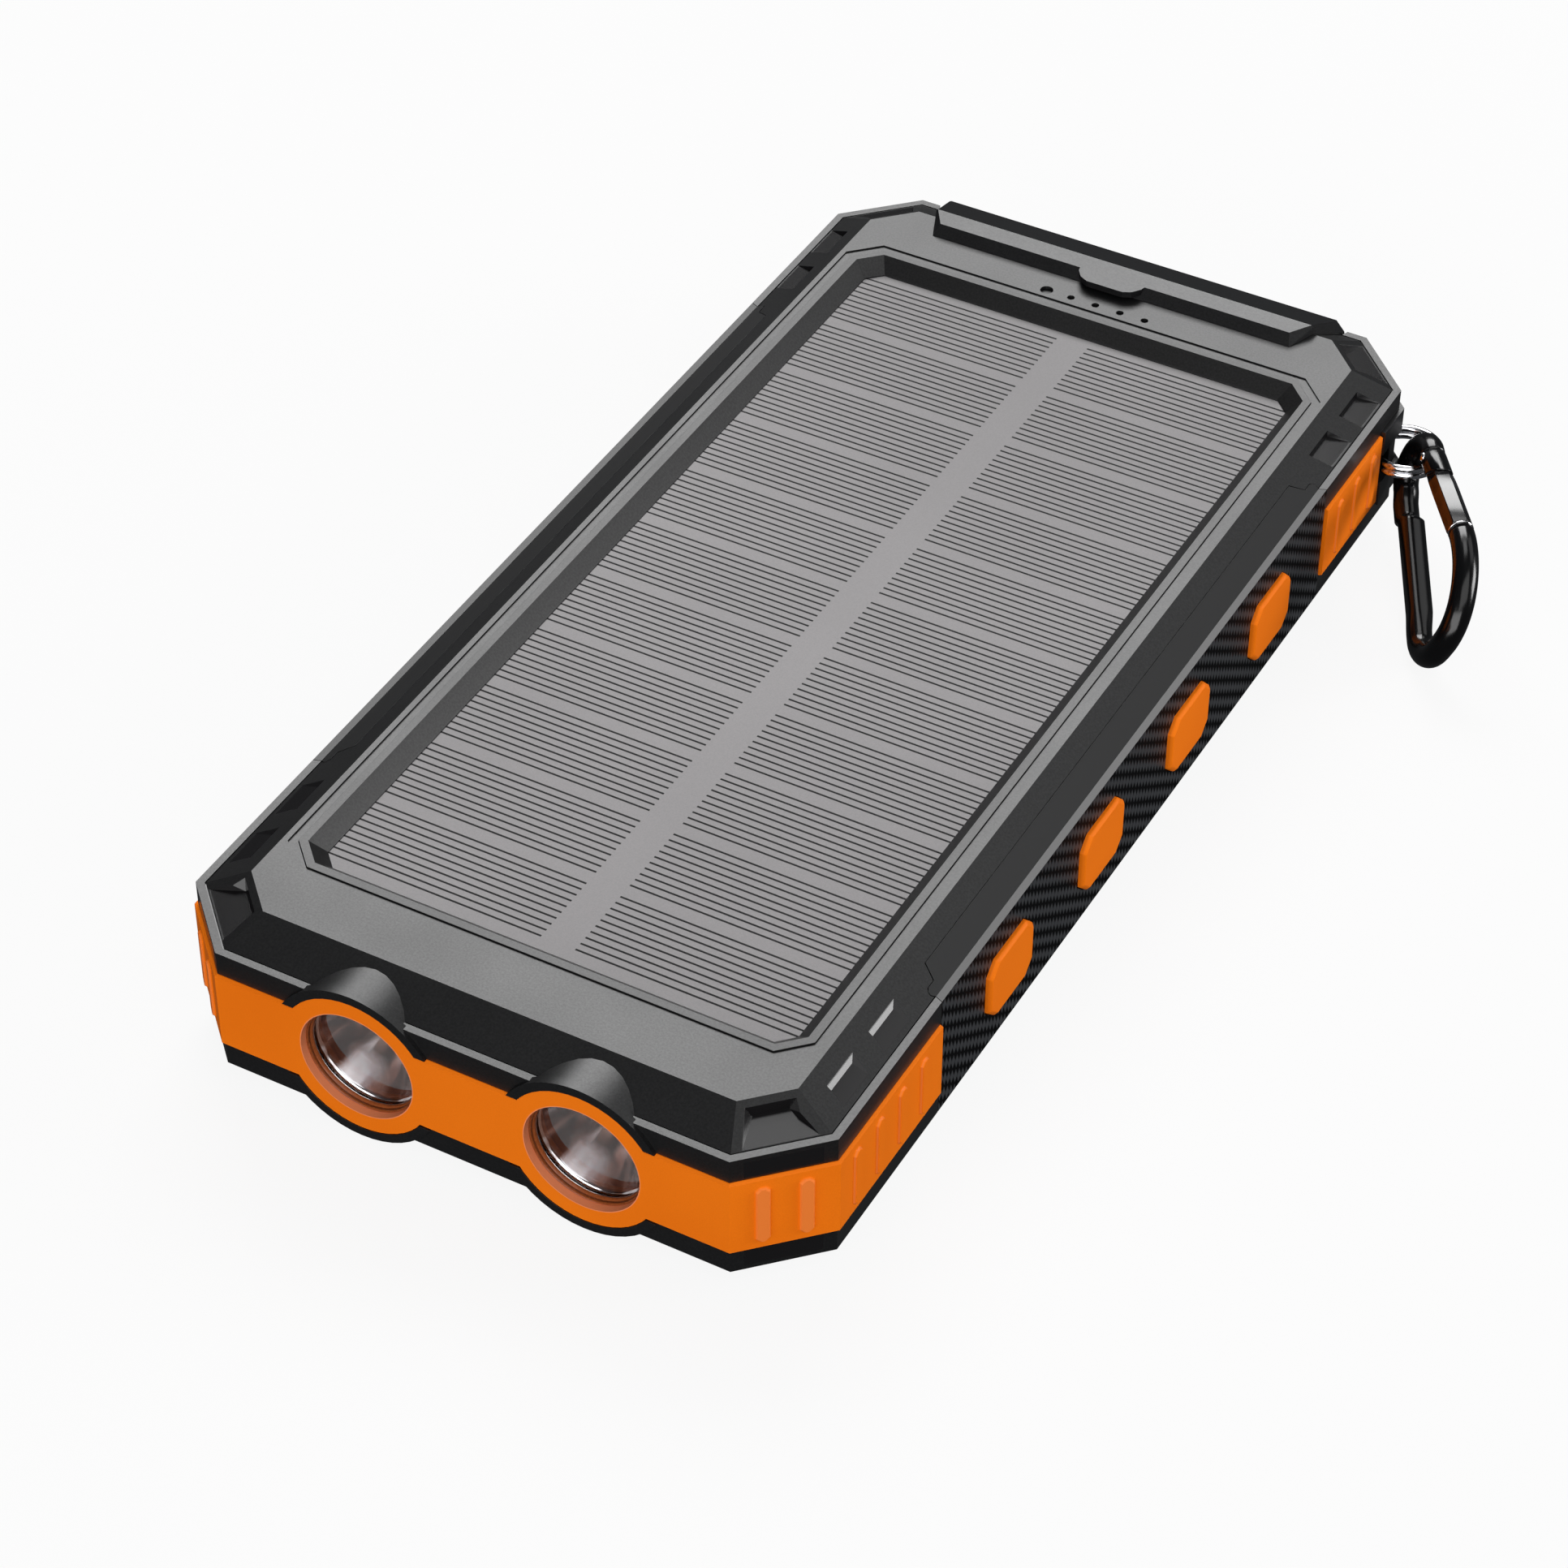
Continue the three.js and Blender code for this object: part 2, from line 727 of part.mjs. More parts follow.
// A parabolic bowl with a flange, turned about the lamp's axis. Its profile is a closed loop.
function reflector(x) {
  const steps = 6;
  const inner = [];
  const outer = [];
  for (let i = 0; i <= steps; i++) {
    const share = i / steps;
    const radius = throat + (6.5 - throat) * share;
    const depth = reflectorDepth * (1 - (radius * radius - throat * throat) / (6.5 * 6.5 - throat * throat));
    inner.push(new THREE.Vector2(radius, depth));
    outer.push(new THREE.Vector2(radius + 0.8, depth + 0.35));
  }
  const flange = [new THREE.Vector2(7.6, 0), new THREE.Vector2(7.6, 0.7)];
  const profile = [...inner, ...flange, ...outer.slice(0, steps).reverse(), inner[0]];
  const geometry = new THREE.LatheGeometry(profile, 36);
  return new THREE.Mesh(geometry.translate(x, reflectorFront, middle));
}

function lampLed(x) {
  const back = reflectorFront + reflectorDepth + 1.35;
  const base = box(x - 1.6, x + 1.6, back - 0.7, back, middle - 1.6, middle + 1.6);
  const dome = rodY(0.7, 1.25, x, middle, back - 1.5, back - 0.65, 24);
  return base.add(dome);
}

// ---- electronics --------------------------------------------------------------------------

function usbA(x) {
  const back = 79.6;
  const shellBox = box(x - 6.55, x + 6.55, 65, back, usbAZ - 2.9, usbAZ + 2.9);
  const mouth = box(x - 6.1, x + 6.1, 69.5, back + 1, usbAZ - 2.4, usbAZ + 2.4);
  const tongue = box(x - 5.5, x + 5.5, 69, back - 0.8, usbAZ + 0.3, usbAZ + 2.0);
  return shellBox.subtract(mouth).add(tongue);
}

function stadium(halfX, halfZ, centreZ) {
  const points = [];
  for (const side of [1, -1]) {
    for (let i = 0; i <= 6; i++) {
      const angle = (side > 0 ? -Math.PI / 2 : Math.PI / 2) + (Math.PI * i) / 6;
      points.push([side * (halfX - halfZ) + halfZ * Math.cos(angle), centreZ + halfZ * Math.sin(angle)]);
    }
  }
  return points;
}

function usbC() {
  const back = 79.6;
  const shellBox = prismY(stadium(4.5, 1.6, usbCZ), 72, back);
  const mouth = prismY(stadium(4.2, 1.3, usbCZ), 73.5, back + 1);
  const tongue = box(-3.35, 3.35, 73, back - 0.9, usbCZ - 0.35, usbCZ + 0.35);
  return shellBox.subtract(mouth).add(tongue);
}

function cell(front, back) {
  return prismZ(octagon(-30.5, 30.5, front, back, 1.2), 3.3, 13.3);
}

// ---- port cover ---------------------------------------------------------------------------

// Outline of the cover in (y, z), shrunk at its skin by an inset.
function coverBody() {
  const top = thickness + portRise;
  const inner = thickness + gap;
  const wallTop = bevelHeightRear(portWall) + gap;
  const section = [
    [portFront, inner],
    [portFront + 2.16, inner + 2.7],
    [halfLength + 1, inner + 2.7],
    [halfLength + 1, hinge.z],
    [portWall, hinge.z],
    [portWall, wallTop],
    [plateau.y, inner],
  ];
  const station = (y, height, inset, chamfer) => {
    const half = portHalf(y) - inset;
    const outline = [[half, 0], [half, height - 1.12 * chamfer], [half - chamfer, height]];
    return [...outline, ...outline.map(([x, z]) => [-x, z]).reverse()].map(([x, z]) => [x, y, z]);
  };
  const hull = loft([
    station(portFront - 1, top, 0, 1.5),
    station(76.05, top, 0, 0.25),
    station(halfLength - 0.4, 20.57, 0, 1.3),
    station(halfLength, 20.4, 0.35, 1.2),
  ]);
  return prismX(section, -40, 40).intersect(hull);
}

// Height of the rear border's surface at a distance y from the middle.
function bevelHeightRear(y) {
  const foot = halfLength - rimWidth - grooveWidth;
  return rimTop + (bevelDrop * (foot - y)) / (foot - plateau.y);
}

function portCover() {
  const top = thickness + portRise;
  const tabPlan = [
    [-4.75, 74.2],
    [4.75, 74.2],
    [4.4, 72.6],
    [3.6, 71.5],
    [2.5, 70.95],
    [-2.5, 70.95],
    [-3.6, 71.5],
    [-4.4, 72.6],
  ];
  const tab = prismZ(tabPlan, top - 0.85, top);
  const knuckle = rodX(hinge.radius, hinge.y, hinge.z, -28.2, 28.2, 20);
  const root = box(-28.2, 28.2, portWall, halfLength, hinge.z, hinge.z + 1.5);
  const plugs = [-1, 1].map((side) =>
    box(side * usbAX - 5.4, side * usbAX + 5.4, portWall - 0.45, portWall + 0.2, usbAZ - 1.9, usbAZ + 0.0));
  return joined(coverBody(), tab, knuckle, root, ...plugs);
}

function coverAnchor() {
  const web = box(-22, 22, 77.2, hinge.y - hinge.radius - 0.12, hinge.z - 0.4, hinge.z + 0.4);
  const head = box(-22, 22, 77.0, 78.0, hinge.z - 1.2, hinge.z + 1.2);
  return web.add(head);
}

// ---- lanyard ------------------------------------------------------------------------------

// Two turns of wire that lie on each other.
function splitRing() {
  const turns = [-0.48, 0.48].map((height) => {
    const geometry = new THREE.TorusGeometry(ring.radius, ring.wire + 0.02, 8, 40);
    return solid(geometry.translate(ring.x, ring.y, middle + height));
  });
  return joined(...turns);
}

// The carabiner is drawn flat in (q, s): q runs across it and s from the ring end to the far end.
// across, down and normal place that drawing in space, hung from the ring and leaning on the table.
const heading = new THREE.Vector3(Math.cos(clipHeading), Math.sin(clipHeading), 0);
const level = new THREE.Vector3(-heading.y, heading.x, 0);
const upright = new THREE.Vector3(0, 0, 1);
const down = heading.clone().multiplyScalar(Math.cos(clipDip)).addScaledVector(upright, -Math.sin(clipDip));
const lean = heading.clone().multiplyScalar(Math.sin(clipDip)).addScaledVector(upright, Math.cos(clipDip));
const across = level.clone().multiplyScalar(Math.cos(clipRoll)).addScaledVector(lean, Math.sin(clipRoll));
const normal = new THREE.Vector3().crossVectors(across, down);
const hook = new THREE.Vector3(
  ring.x + ring.radius * Math.cos(hookAngle),
  ring.y + ring.radius * Math.sin(hookAngle),
  middle,
);

function clipPoint(q, s, n) {
  const point = hook.clone();
  point.addScaledVector(across, q - clip.bow + 0.15);
  point.addScaledVector(down, s - 5.55);
  point.addScaledVector(normal, n - 0.3);
  return [point.x, point.y, point.z];
}

// Turns a solid drawn flat, with x = q, y = s and z = n, into its place.
function placedOnClip(shape) {
  const turn = new THREE.Matrix4().makeBasis(across, down, normal);
  turn.setPosition(new THREE.Vector3(...clipPoint(0, 0, 0)));
  return shape.transform(turn.elements);
}

const shoulderPoint = new THREE.Vector2(clip.shoulder, clip.shoulderEnd);
const gateLine = new THREE.Vector2(Math.sin(gateAngle), Math.cos(gateAngle));
const pivot = new THREE.Vector2(2 * clip.bow, clip.bowEnd).addScaledVector(gateLine, 0.7);
const gateReach = shoulderPoint.distanceTo(pivot);

// The middle line of the carabiner's wire from the fork round the ring end, the spine and the foot
// to the nose that the gate closes against.
function clipLine() {
  const { bow, bowEnd, foot, footRadius } = clip;
  const line = new THREE.CurvePath();
  const at = (q, s) => new THREE.Vector2(q, s);
  line.add(new THREE.EllipseCurve(bow, bowEnd, bow, bow, 0, -Math.PI, true));
  line.add(new THREE.LineCurve(at(0, bowEnd), at(0, foot)));
  line.add(new THREE.EllipseCurve(footRadius, foot, footRadius, footRadius, Math.PI, Math.PI / 2, true));
  const end = foot + footRadius;
  line.add(new THREE.LineCurve(at(footRadius, end), at(footRadius + 1.2, end)));
  const bend = [at(footRadius + 1.2, end), at(clip.shoulder - 1.0, end - 0.2)];
  bend.push(at(clip.shoulder + 1.3, clip.shoulderEnd + 5), shoulderPoint.clone());
  line.add(new THREE.CubicBezierCurve(...bend));
  return line;
}

// Smooth step from 0 to 1 between two distances.
function blend(low, high, value) {
  return THREE.MathUtils.smoothstep(value, low, high);
}

function clipWire() {
  const line = clipLine();
  const steps = 46;
  const sides = 14;
  const rings = [];
  for (let i = 0; i <= steps; i++) {
    const point = line.getPointAt(i / steps);
    const tangent = line.getTangentAt(i / steps);
    const onSpine = point.x < 2 ? blend(9, 12, point.y) * (1 - blend(25, 28, point.y)) : 0;
    const wide = clip.wire + 0.45 * onSpine;
    const thin = clip.wire - 0.1 * onSpine;
    const loop = [];
    for (let k = 0; k < sides; k++) {
      const angle = (2 * Math.PI * k) / sides;
      const out = thin * Math.cos(angle);
      loop.push([point.x + out * tangent.y, point.y - out * tangent.x, wide * Math.sin(angle)]);
    }
    rings.push(loop);
  }
  return loft(rings);
}

// A box in the flat drawing whose length follows the gate, measured from the pivot.
function gateBox(from, to, half, thick) {
  const geometry = new THREE.BoxGeometry(2 * half, to - from, 2 * thick);
  geometry.translate(0, (from + to) / 2, 0).rotateZ(-gateAngle);
  return solid(geometry.translate(pivot.x, pivot.y, 0));
}

function gateRod(from, to, radius, sides = 18) {
  const geometry = new THREE.CylinderGeometry(radius, radius, to - from, sides);
  geometry.translate(0, (from + to) / 2, 0).rotateZ(-gateAngle);
  return solid(geometry.translate(pivot.x, pivot.y, 0));
}

function pivotDisc(radius, thick, sides = 24) {
  return rodZ(radius, radius, pivot.x, pivot.y, -thick, thick, sides);
}

function carabinerBody() {
  const fork = pivotDisc(2.05, 1.8);
  const neck = gateBox(-2.4, 0, 1.7, 1.6);
  const pad = prismZ(stadiumAlong(0, 13.5, 23.5, 1.0), 1.62, 5);
  const back = prismZ(stadiumAlong(0, 13.5, 23.5, 1.0), -5, -1.62);
  const slot = gateBox(-1.75, 6, 4, 0.78);
  return placedOnClip(cut(joined(clipWire(), fork, neck), slot, pivotDisc(0.66, 5, 20), pad, back));
}

// A slot outline with round ends that runs along s.
function stadiumAlong(q, low, high, radius) {
  const points = [];
  for (const [centre, start] of [[low, Math.PI], [high, 0]]) {
    for (let i = 0; i <= 8; i++) {
      const angle = start + (Math.PI * i) / 8;
      points.push([q + radius * Math.cos(angle), centre + radius * Math.sin(angle)]);
    }
  }
  return points;
}

function carabinerGate() {
  const tongue = joined(pivotDisc(1.35, 0.66), gateBox(0, 3, 1.35, 0.66));
  const sleeve = gateBox(3.2, gateReach - 4.4, 1.42, 1.5).intersect(gateRod(3.2, gateReach - 4.4, 1.75));
  const rod = gateRod(2.25, gateReach - 0.3, 1.4);
  const collar = gateRod(gateReach - 1.5, gateReach - 0.7, 1.6);
  return placedOnClip(joined(tongue, sleeve, rod, collar).subtract(pivotDisc(0.68, 5, 20)));
}

function gatePin() {
  const heads = [-1, 1].map((side) => {
    const low = side > 0 ? 1.86 : -2.2;
    return rodZ(side > 0 ? 1.05 : 0.85, side > 0 ? 0.85 : 1.05, pivot.x, pivot.y, low, low + 0.34, 24);
  });
  return placedOnClip(joined(pivotDisc(0.6, 2.0, 20), ...heads));
}

// ---- small parts --------------------------------------------------------------------------

function screw([x, y]) {
  const head = rodZ(2.0, 2.0, x, y, 0.45, 1.6, 24);
  const shank = rodZ(1.0, 1.0, x, y, 1.5, 13.5, 16);
  const cross = [
    box(x - 1.2, x + 1.2, y - 0.25, y + 0.25, 0, 1.0),
    box(x - 0.25, x + 0.25, y - 1.2, y + 1.2, 0, 1.0),
  ];
  return cut(head.add(shank), ...cross);
}

function buttonSwitch() {
  const body = box(-36.0, -32.6, buttonY - 3, buttonY + 3, middle - 2.5, middle + 2.5);
  return body.add(rodX(1.1, buttonY, middle, -36.5, -35.9, 16));
}

// ---- materials and assembly ---------------------------------------------------------------

const finishes = {
  shell: { color: 0x1b1c1e, roughness: 0.62, metalness: 0 },
  grip: { color: 0x151618, roughness: 0.45, metalness: 0 },
  rubber: { color: 0xd9640f, roughness: 0.7, metalness: 0 },
  bezel: { color: 0x202124, roughness: 0.5, metalness: 0 },
  solar: { color: 0x26282c, roughness: 0.35, metalness: 0 },
  clear: { color: 0xe6ecee, roughness: 0.08, metalness: 0 },
  chrome: { color: 0xd0d3d6, roughness: 0.15, metalness: 1 },
  steel: { color: 0xb4b7ba, roughness: 0.3, metalness: 1 },
  led: { color: 0xe9d86a, roughness: 0.4, metalness: 0 },
  board: { color: 0x1d5b36, roughness: 0.5, metalness: 0 },
  cell: { color: 0x5d86b3, roughness: 0.4, metalness: 0 },
  foam: { color: 0x3a3a3a, roughness: 0.95, metalness: 0 },
  lacquer: { color: 0x111214, roughness: 0.2, metalness: 0.3 },
};

const group = new THREE.Group();
group.name = "solar_phone_charger";

function add(name, shape, finish) {
  const material = new THREE.MeshStandardMaterial({ ...finishes[finish], name: finish });
  const mesh = shape.isMesh ? shape : new THREE.Mesh(geometryOf(shape));
  mesh.material = material;
  mesh.name = name;
  group.add(mesh);
}

add("top_cover", topCover(), "shell");
add("bottom_cover", bottomCover(), "shell");
add("panel_bezel", panelBezel(), "bezel");
add("solar_panel", prismZ(panelOutline(0), bezelFoot, panelTop), "solar");
add("light_pipe", lightPipe(), "clear");
add("front_bumper", frontBumper(), "rubber");
add("rear_bumper_left", rearBumper(-1), "rubber");
add("rear_bumper_right", rearBumper(1), "rubber");
for (const [label, side] of [["left", -1], ["right", 1]]) {
  add(`side_grip_${label}`, sideGrip(side), "grip");
  const padCount = side > 0 ? 4 : 3;
  for (let i = 0; i < padCount; i++) {
    add(`grip_pad_${label}_${i + 1}`, gripPad(side, padCentres[i]), "rubber");
  }
  const x = side * lampX;
  add(`lens_ring_${label}`, lensRing(x), "chrome");
  const lens = rodY(7.6, 7.6, x, middle, lensFront, lensFront + lensThickness, 48);
  add(`flashlight_lens_${label}`, lens, "clear");
  add(`reflector_${label}`, reflector(x), "chrome");
  add(`flashlight_led_${label}`, lampLed(x), "led");
  add(`usb_a_socket_${label}`, usbA(side * usbAX), "steel");
}
add("power_button", powerButton(), "rubber");
add("button_switch", buttonSwitch(), "steel");
add("usb_c_socket", usbC(), "steel");
add("main_board", box(-24, 24, 58, 76.8, boardTop - 1.6, boardTop), "board");
add("battery_cell_front", cell(-57, -1), "cell");
add("battery_cell_rear", cell(-0.5, 55.5), "cell");
add("foam_pad", box(-27, 27, -54, 54, 13.4, bezelFoot - gap), "foam");
add("port_cover", portCover(), "shell");
add("cover_anchor", coverAnchor(), "shell");
screwPlaces.forEach((place, i) => add(`case_screw_${i + 1}`, screw(place), "steel"));
add("lanyard_post", prismZ(postOutline(0), slotLow - 2.45, slotHigh + 2.45), "shell");
add("split_ring", splitRing(), "steel");
add("carabiner_body", carabinerBody(), "lacquer");
add("carabiner_gate", carabinerGate(), "lacquer");
add("gate_pin", gatePin(), "steel");

export default group;
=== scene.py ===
"""Looks for the solar phone charger: materials, fine shapes, light and camera round the CAD part.

Metres, in the part's own frame: +Z up, +Y towards the port cover, flashlights towards -Y.
"""

import math

import bmesh
import bpy
from mathutils import Matrix, Vector


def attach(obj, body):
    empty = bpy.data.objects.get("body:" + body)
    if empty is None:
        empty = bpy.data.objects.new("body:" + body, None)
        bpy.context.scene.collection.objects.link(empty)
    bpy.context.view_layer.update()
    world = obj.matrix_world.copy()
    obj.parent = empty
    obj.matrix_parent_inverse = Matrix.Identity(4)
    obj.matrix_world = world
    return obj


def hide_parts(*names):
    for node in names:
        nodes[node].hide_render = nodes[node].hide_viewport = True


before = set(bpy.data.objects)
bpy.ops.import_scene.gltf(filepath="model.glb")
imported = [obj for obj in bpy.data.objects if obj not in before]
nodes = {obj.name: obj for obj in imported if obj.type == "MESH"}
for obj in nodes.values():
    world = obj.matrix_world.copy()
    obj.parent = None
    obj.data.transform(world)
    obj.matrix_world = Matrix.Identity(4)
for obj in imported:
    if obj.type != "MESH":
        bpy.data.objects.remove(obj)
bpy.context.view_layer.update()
scene = bpy.context.scene

MM = 0.001

# Sizes of the part, in millimetres.
THICKNESS = 21.6
MIDDLE = THICKNESS / 2
LAMP_X = 14.06
PANEL_TOP = THICKNESS - 1.86

# The sloping border of each face: how far it drops, and for the sides, the ends and the corners
# the distance of its foot from the middle and the run of its slope.
BORDER_DROP = 2.45
SIDE_BORDER = (38.94, 4.94)
END_BORDER = (80.99, 4.79)
CORNER_BORDER = (79.41, 4.81)

# Finest grain of the moulded plastic and its broad unevenness, as noise scales.
GRAIN_SCALE = 3800.0
UNEVEN_SCALE = 60.0


# ---- node helpers -------------------------------------------------------------------------


class Nodes:
    """Builds one node material with short calls."""

    def __init__(self, name):
        self.material = bpy.data.materials.new(name)
        self.material.use_nodes = True
        self.tree = self.material.node_tree
        self.shader = self.tree.nodes["Principled BSDF"]
        coordinate = self.tree.nodes.new("ShaderNodeTexCoord")
        self.place = coordinate.outputs["Object"]
        self.normal_out = coordinate.outputs["Normal"]

    def link(self, source, target):
        self.tree.links.new(source, target)

    def put(self, socket, value):
        if isinstance(value, bpy.types.NodeSocket):
            self.link(value, socket)
        else:
            socket.default_value = value

    def math(self, kind, a, b=0.0, c=0.0):
        node = self.tree.nodes.new("ShaderNodeMath")
        node.operation = kind
        for socket, value in zip(node.inputs, (a, b, c)):
            self.put(socket, value)
        return node.outputs[0]

    def split(self, vector):
        node = self.tree.nodes.new("ShaderNodeSeparateXYZ")
        self.link(vector, node.inputs[0])
        return node.outputs

    def noise(self, scale, detail=2.0, rough=0.5, vector=None):
        node = self.tree.nodes.new("ShaderNodeTexNoise")
        node.inputs["Scale"].default_value = scale
        node.inputs["Detail"].default_value = detail
        node.inputs["Roughness"].default_value = rough
        self.link(vector or self.place, node.inputs["Vector"])
        return node.outputs["Fac"]

    def spread(self, value, low, high, to_low=0.0, to_high=1.0):
        node = self.tree.nodes.new("ShaderNodeMapRange")
        for socket, item in zip(node.inputs[:5], (value, low, high, to_low, to_high)):
            self.put(socket, item)
        return node.outputs[0]

    def mix(self, share, a, b):
        node = self.tree.nodes.new("ShaderNodeMix")
        node.data_type = "RGBA"
        self.put(node.inputs["Factor"], share)
        for socket, colour in ((node.inputs["A"], a), (node.inputs["B"], b)):
            linked = isinstance(colour, bpy.types.NodeSocket)
            self.put(socket, colour if linked else (*colour, 1.0))
        return node.outputs["Result"]

    def bump(self, height, distance, strength=1.0):
        node = self.tree.nodes.new("ShaderNodeBump")
        node.inputs["Distance"].default_value = distance
        node.inputs["Strength"].default_value = strength
        self.link(height, node.inputs["Height"])
        self.link(node.outputs["Normal"], self.shader.inputs["Normal"])

    def set(self, **values):
        names = {
            "colour": "Base Color",
            "rough": "Roughness",
            "metal": "Metallic",
            "ior": "IOR",
            "specular": "Specular IOR Level",
            "through": "Transmission Weight",
            "glow": "Emission Color",
            "glow_strength": "Emission Strength",
            "tint": "Specular Tint",
        }
        for key, value in values.items():
            linked = isinstance(value, bpy.types.NodeSocket)
            if key in ("colour", "glow", "tint") and not linked:
                value = (*value, 1.0)
            self.put(self.shader.inputs[names[key]], value)


# ---- materials ----------------------------------------------------------------------------


def grained_plastic(name, colour, rough, grain, specular=0.5, speckle=0.3, cell=GRAIN_SCALE):
    """Moulded plastic with a fine spark-eroded grain; grain is its depth in millimetres."""
    n = Nodes(name)
    fine = n.noise(cell, 2.0, 0.6)
    broad = n.noise(UNEVEN_SCALE, 3.0, 0.5)
    lighter = tuple(min(1.0, c * 1.35 + 0.0005) for c in colour)
    n.set(
        colour=n.mix(n.spread(fine, 0.35, 0.65), colour, lighter),
        rough=n.spread(broad, 0.3, 0.7, rough - 0.02, rough + 0.02),
        specular=n.spread(fine, 0.3, 0.7, specular * (1 - speckle), specular * (1 + speckle)),
    )
    n.bump(fine, grain * MM)
    return n.material


def border_depth(n):
    """How far a place lies under the sloping border of the shell's face, in metres."""
    x, y, z = n.split(n.place)
    sideways = n.math("ABSOLUTE", x)
    lengthways = n.math("ABSOLUTE", y)
    diagonal = n.math("MULTIPLY", n.math("ADD", sideways, lengthways), math.sqrt(0.5))
    height = n.math("ABSOLUTE", n.math("SUBTRACT", z, MIDDLE * MM))
    border = (THICKNESS - MIDDLE) * MM
    slopes = ((sideways, SIDE_BORDER), (lengthways, END_BORDER), (diagonal, CORNER_BORDER))
    for across, (foot, run) in slopes:
        rise = n.math("MULTIPLY", n.math("SUBTRACT", foot * MM, across), BORDER_DROP / run)
        border = n.math("MINIMUM", border, n.math("ADD", rise, (MIDDLE - BORDER_DROP) * MM))
    within_sides = n.math("LESS_THAN", sideways, (SIDE_BORDER[0] - 0.01) * MM)
    within_ends = n.math("LESS_THAN", lengthways, (END_BORDER[0] - 0.01) * MM)
    inside = n.math("MULTIPLY", within_sides, within_ends)
    sloping = n.math("LESS_THAN", border, (THICKNESS - MIDDLE - 0.02) * MM)
    counted = n.math("MULTIPLY", inside, sloping)
    return n.math("MULTIPLY", n.math("SUBTRACT", border, height), counted)


def shell_plastic(name):
    """Grained moulded plastic whose sunk pockets are smooth."""
    n = Nodes(name)
    fine = n.noise(GRAIN_SCALE, 2.0, 0.6)
    broad = n.noise(UNEVEN_SCALE, 3.0, 0.5)
    smooth_part = n.spread(border_depth(n), 0.03 * MM, 0.07 * MM)
    grain = n.math("SUBTRACT", 1.0, smooth_part)
    flecks = n.spread(fine, 0.35, 0.65)
    dark = n.mix(flecks, (0.0060, 0.0060, 0.0063), (0.0086, 0.0086, 0.0090))
    rough = n.math("MULTIPLY", n.spread(broad, 0.3, 0.7, 0.36, 0.40), grain)
    sparkle = n.math("MULTIPLY", n.spread(fine, 0.3, 0.7, 0.46, 0.58), grain)
    n.set(
        colour=n.mix(smooth_part, dark, (0.0075, 0.0070, 0.0075)),
        rough=n.math("ADD", rough, n.math("MULTIPLY", smooth_part, 0.20)),
        specular=n.math("ADD", sparkle, n.math("MULTIPLY", smooth_part, 0.50)),
    )
    n.bump(n.math("MULTIPLY", fine, grain), 0.0045 * MM)
    return n.material


def distance_from_lamp(n, from_lamp, z):
    """How far a place is from the axis of its lamp, given its distance sideways."""
    from_middle = n.math("SUBTRACT", z, MIDDLE * MM)
    squares = n.math("ADD", n.math("POWER", from_lamp, 2.0), n.math("POWER", from_middle, 2.0))
    return n.math("SQRT", squares), from_middle


def orange_rubber(name, bumper=False):
    """Matt orange rubber; on a bumper the rib flanks and corner rib tops get a painted peach sheen,
    and the lamp bore walls are painted lighter.
    """
    n = Nodes(name)
    fine = n.noise(7000.0, 2.0, 0.6)
    broad = n.noise(45.0, 3.0, 0.5)
    tone = n.math("ADD", n.math("MULTIPLY", fine, 0.45), n.math("MULTIPLY", broad, 0.55))
    colour = n.mix(n.spread(tone, 0.4, 0.6), (0.93, 0.188, 0.005), (0.99, 0.210, 0.006))
    if bumper:
        x, y, z = n.split(n.place)
        sideways = n.math("ABSOLUTE", x)
        outwards = n.math("ADD", sideways, n.math("ABSOLUTE", y))
        corner_face = n.math("MULTIPLY", outwards, math.sqrt(0.5))
        corner_rib_sheen = n.spread(corner_face, 80.95 * MM, 81.05 * MM)
        rib_foot = n.spread(sideways, 40.44 * MM, 40.48 * MM)
        rib_top = n.spread(sideways, 40.62 * MM, 40.68 * MM)
        flank_sheen = n.math("SUBTRACT", rib_foot, rib_top)
        rib_sheen = n.math("MAXIMUM", corner_rib_sheen, flank_sheen)
        from_lamp = n.math("SUBTRACT", sideways, LAMP_X * MM)
        radius, _ = distance_from_lamp(n, from_lamp, z)
        bore = n.spread(radius, 7.16 * MM, 7.22 * MM, 1.0, 0.0)
        # painted sheen: the rib flanks and corner rib tops are tinted a paler peach
        colour = n.mix(n.math("MULTIPLY", rib_sheen, 0.8), colour, (0.93, 0.235, 0.045))
        # painted light: inside the lamp bores the wall colour is lightened to a pale peach
        colour = n.mix(bore, colour, (0.98, 0.30, 0.13))
    n.set(
        colour=colour,
        rough=n.spread(broad, 0.3, 0.7, 0.50, 0.56),
        specular=0.1,
    )
    n.bump(fine, 0.006 * MM)
    return n.material


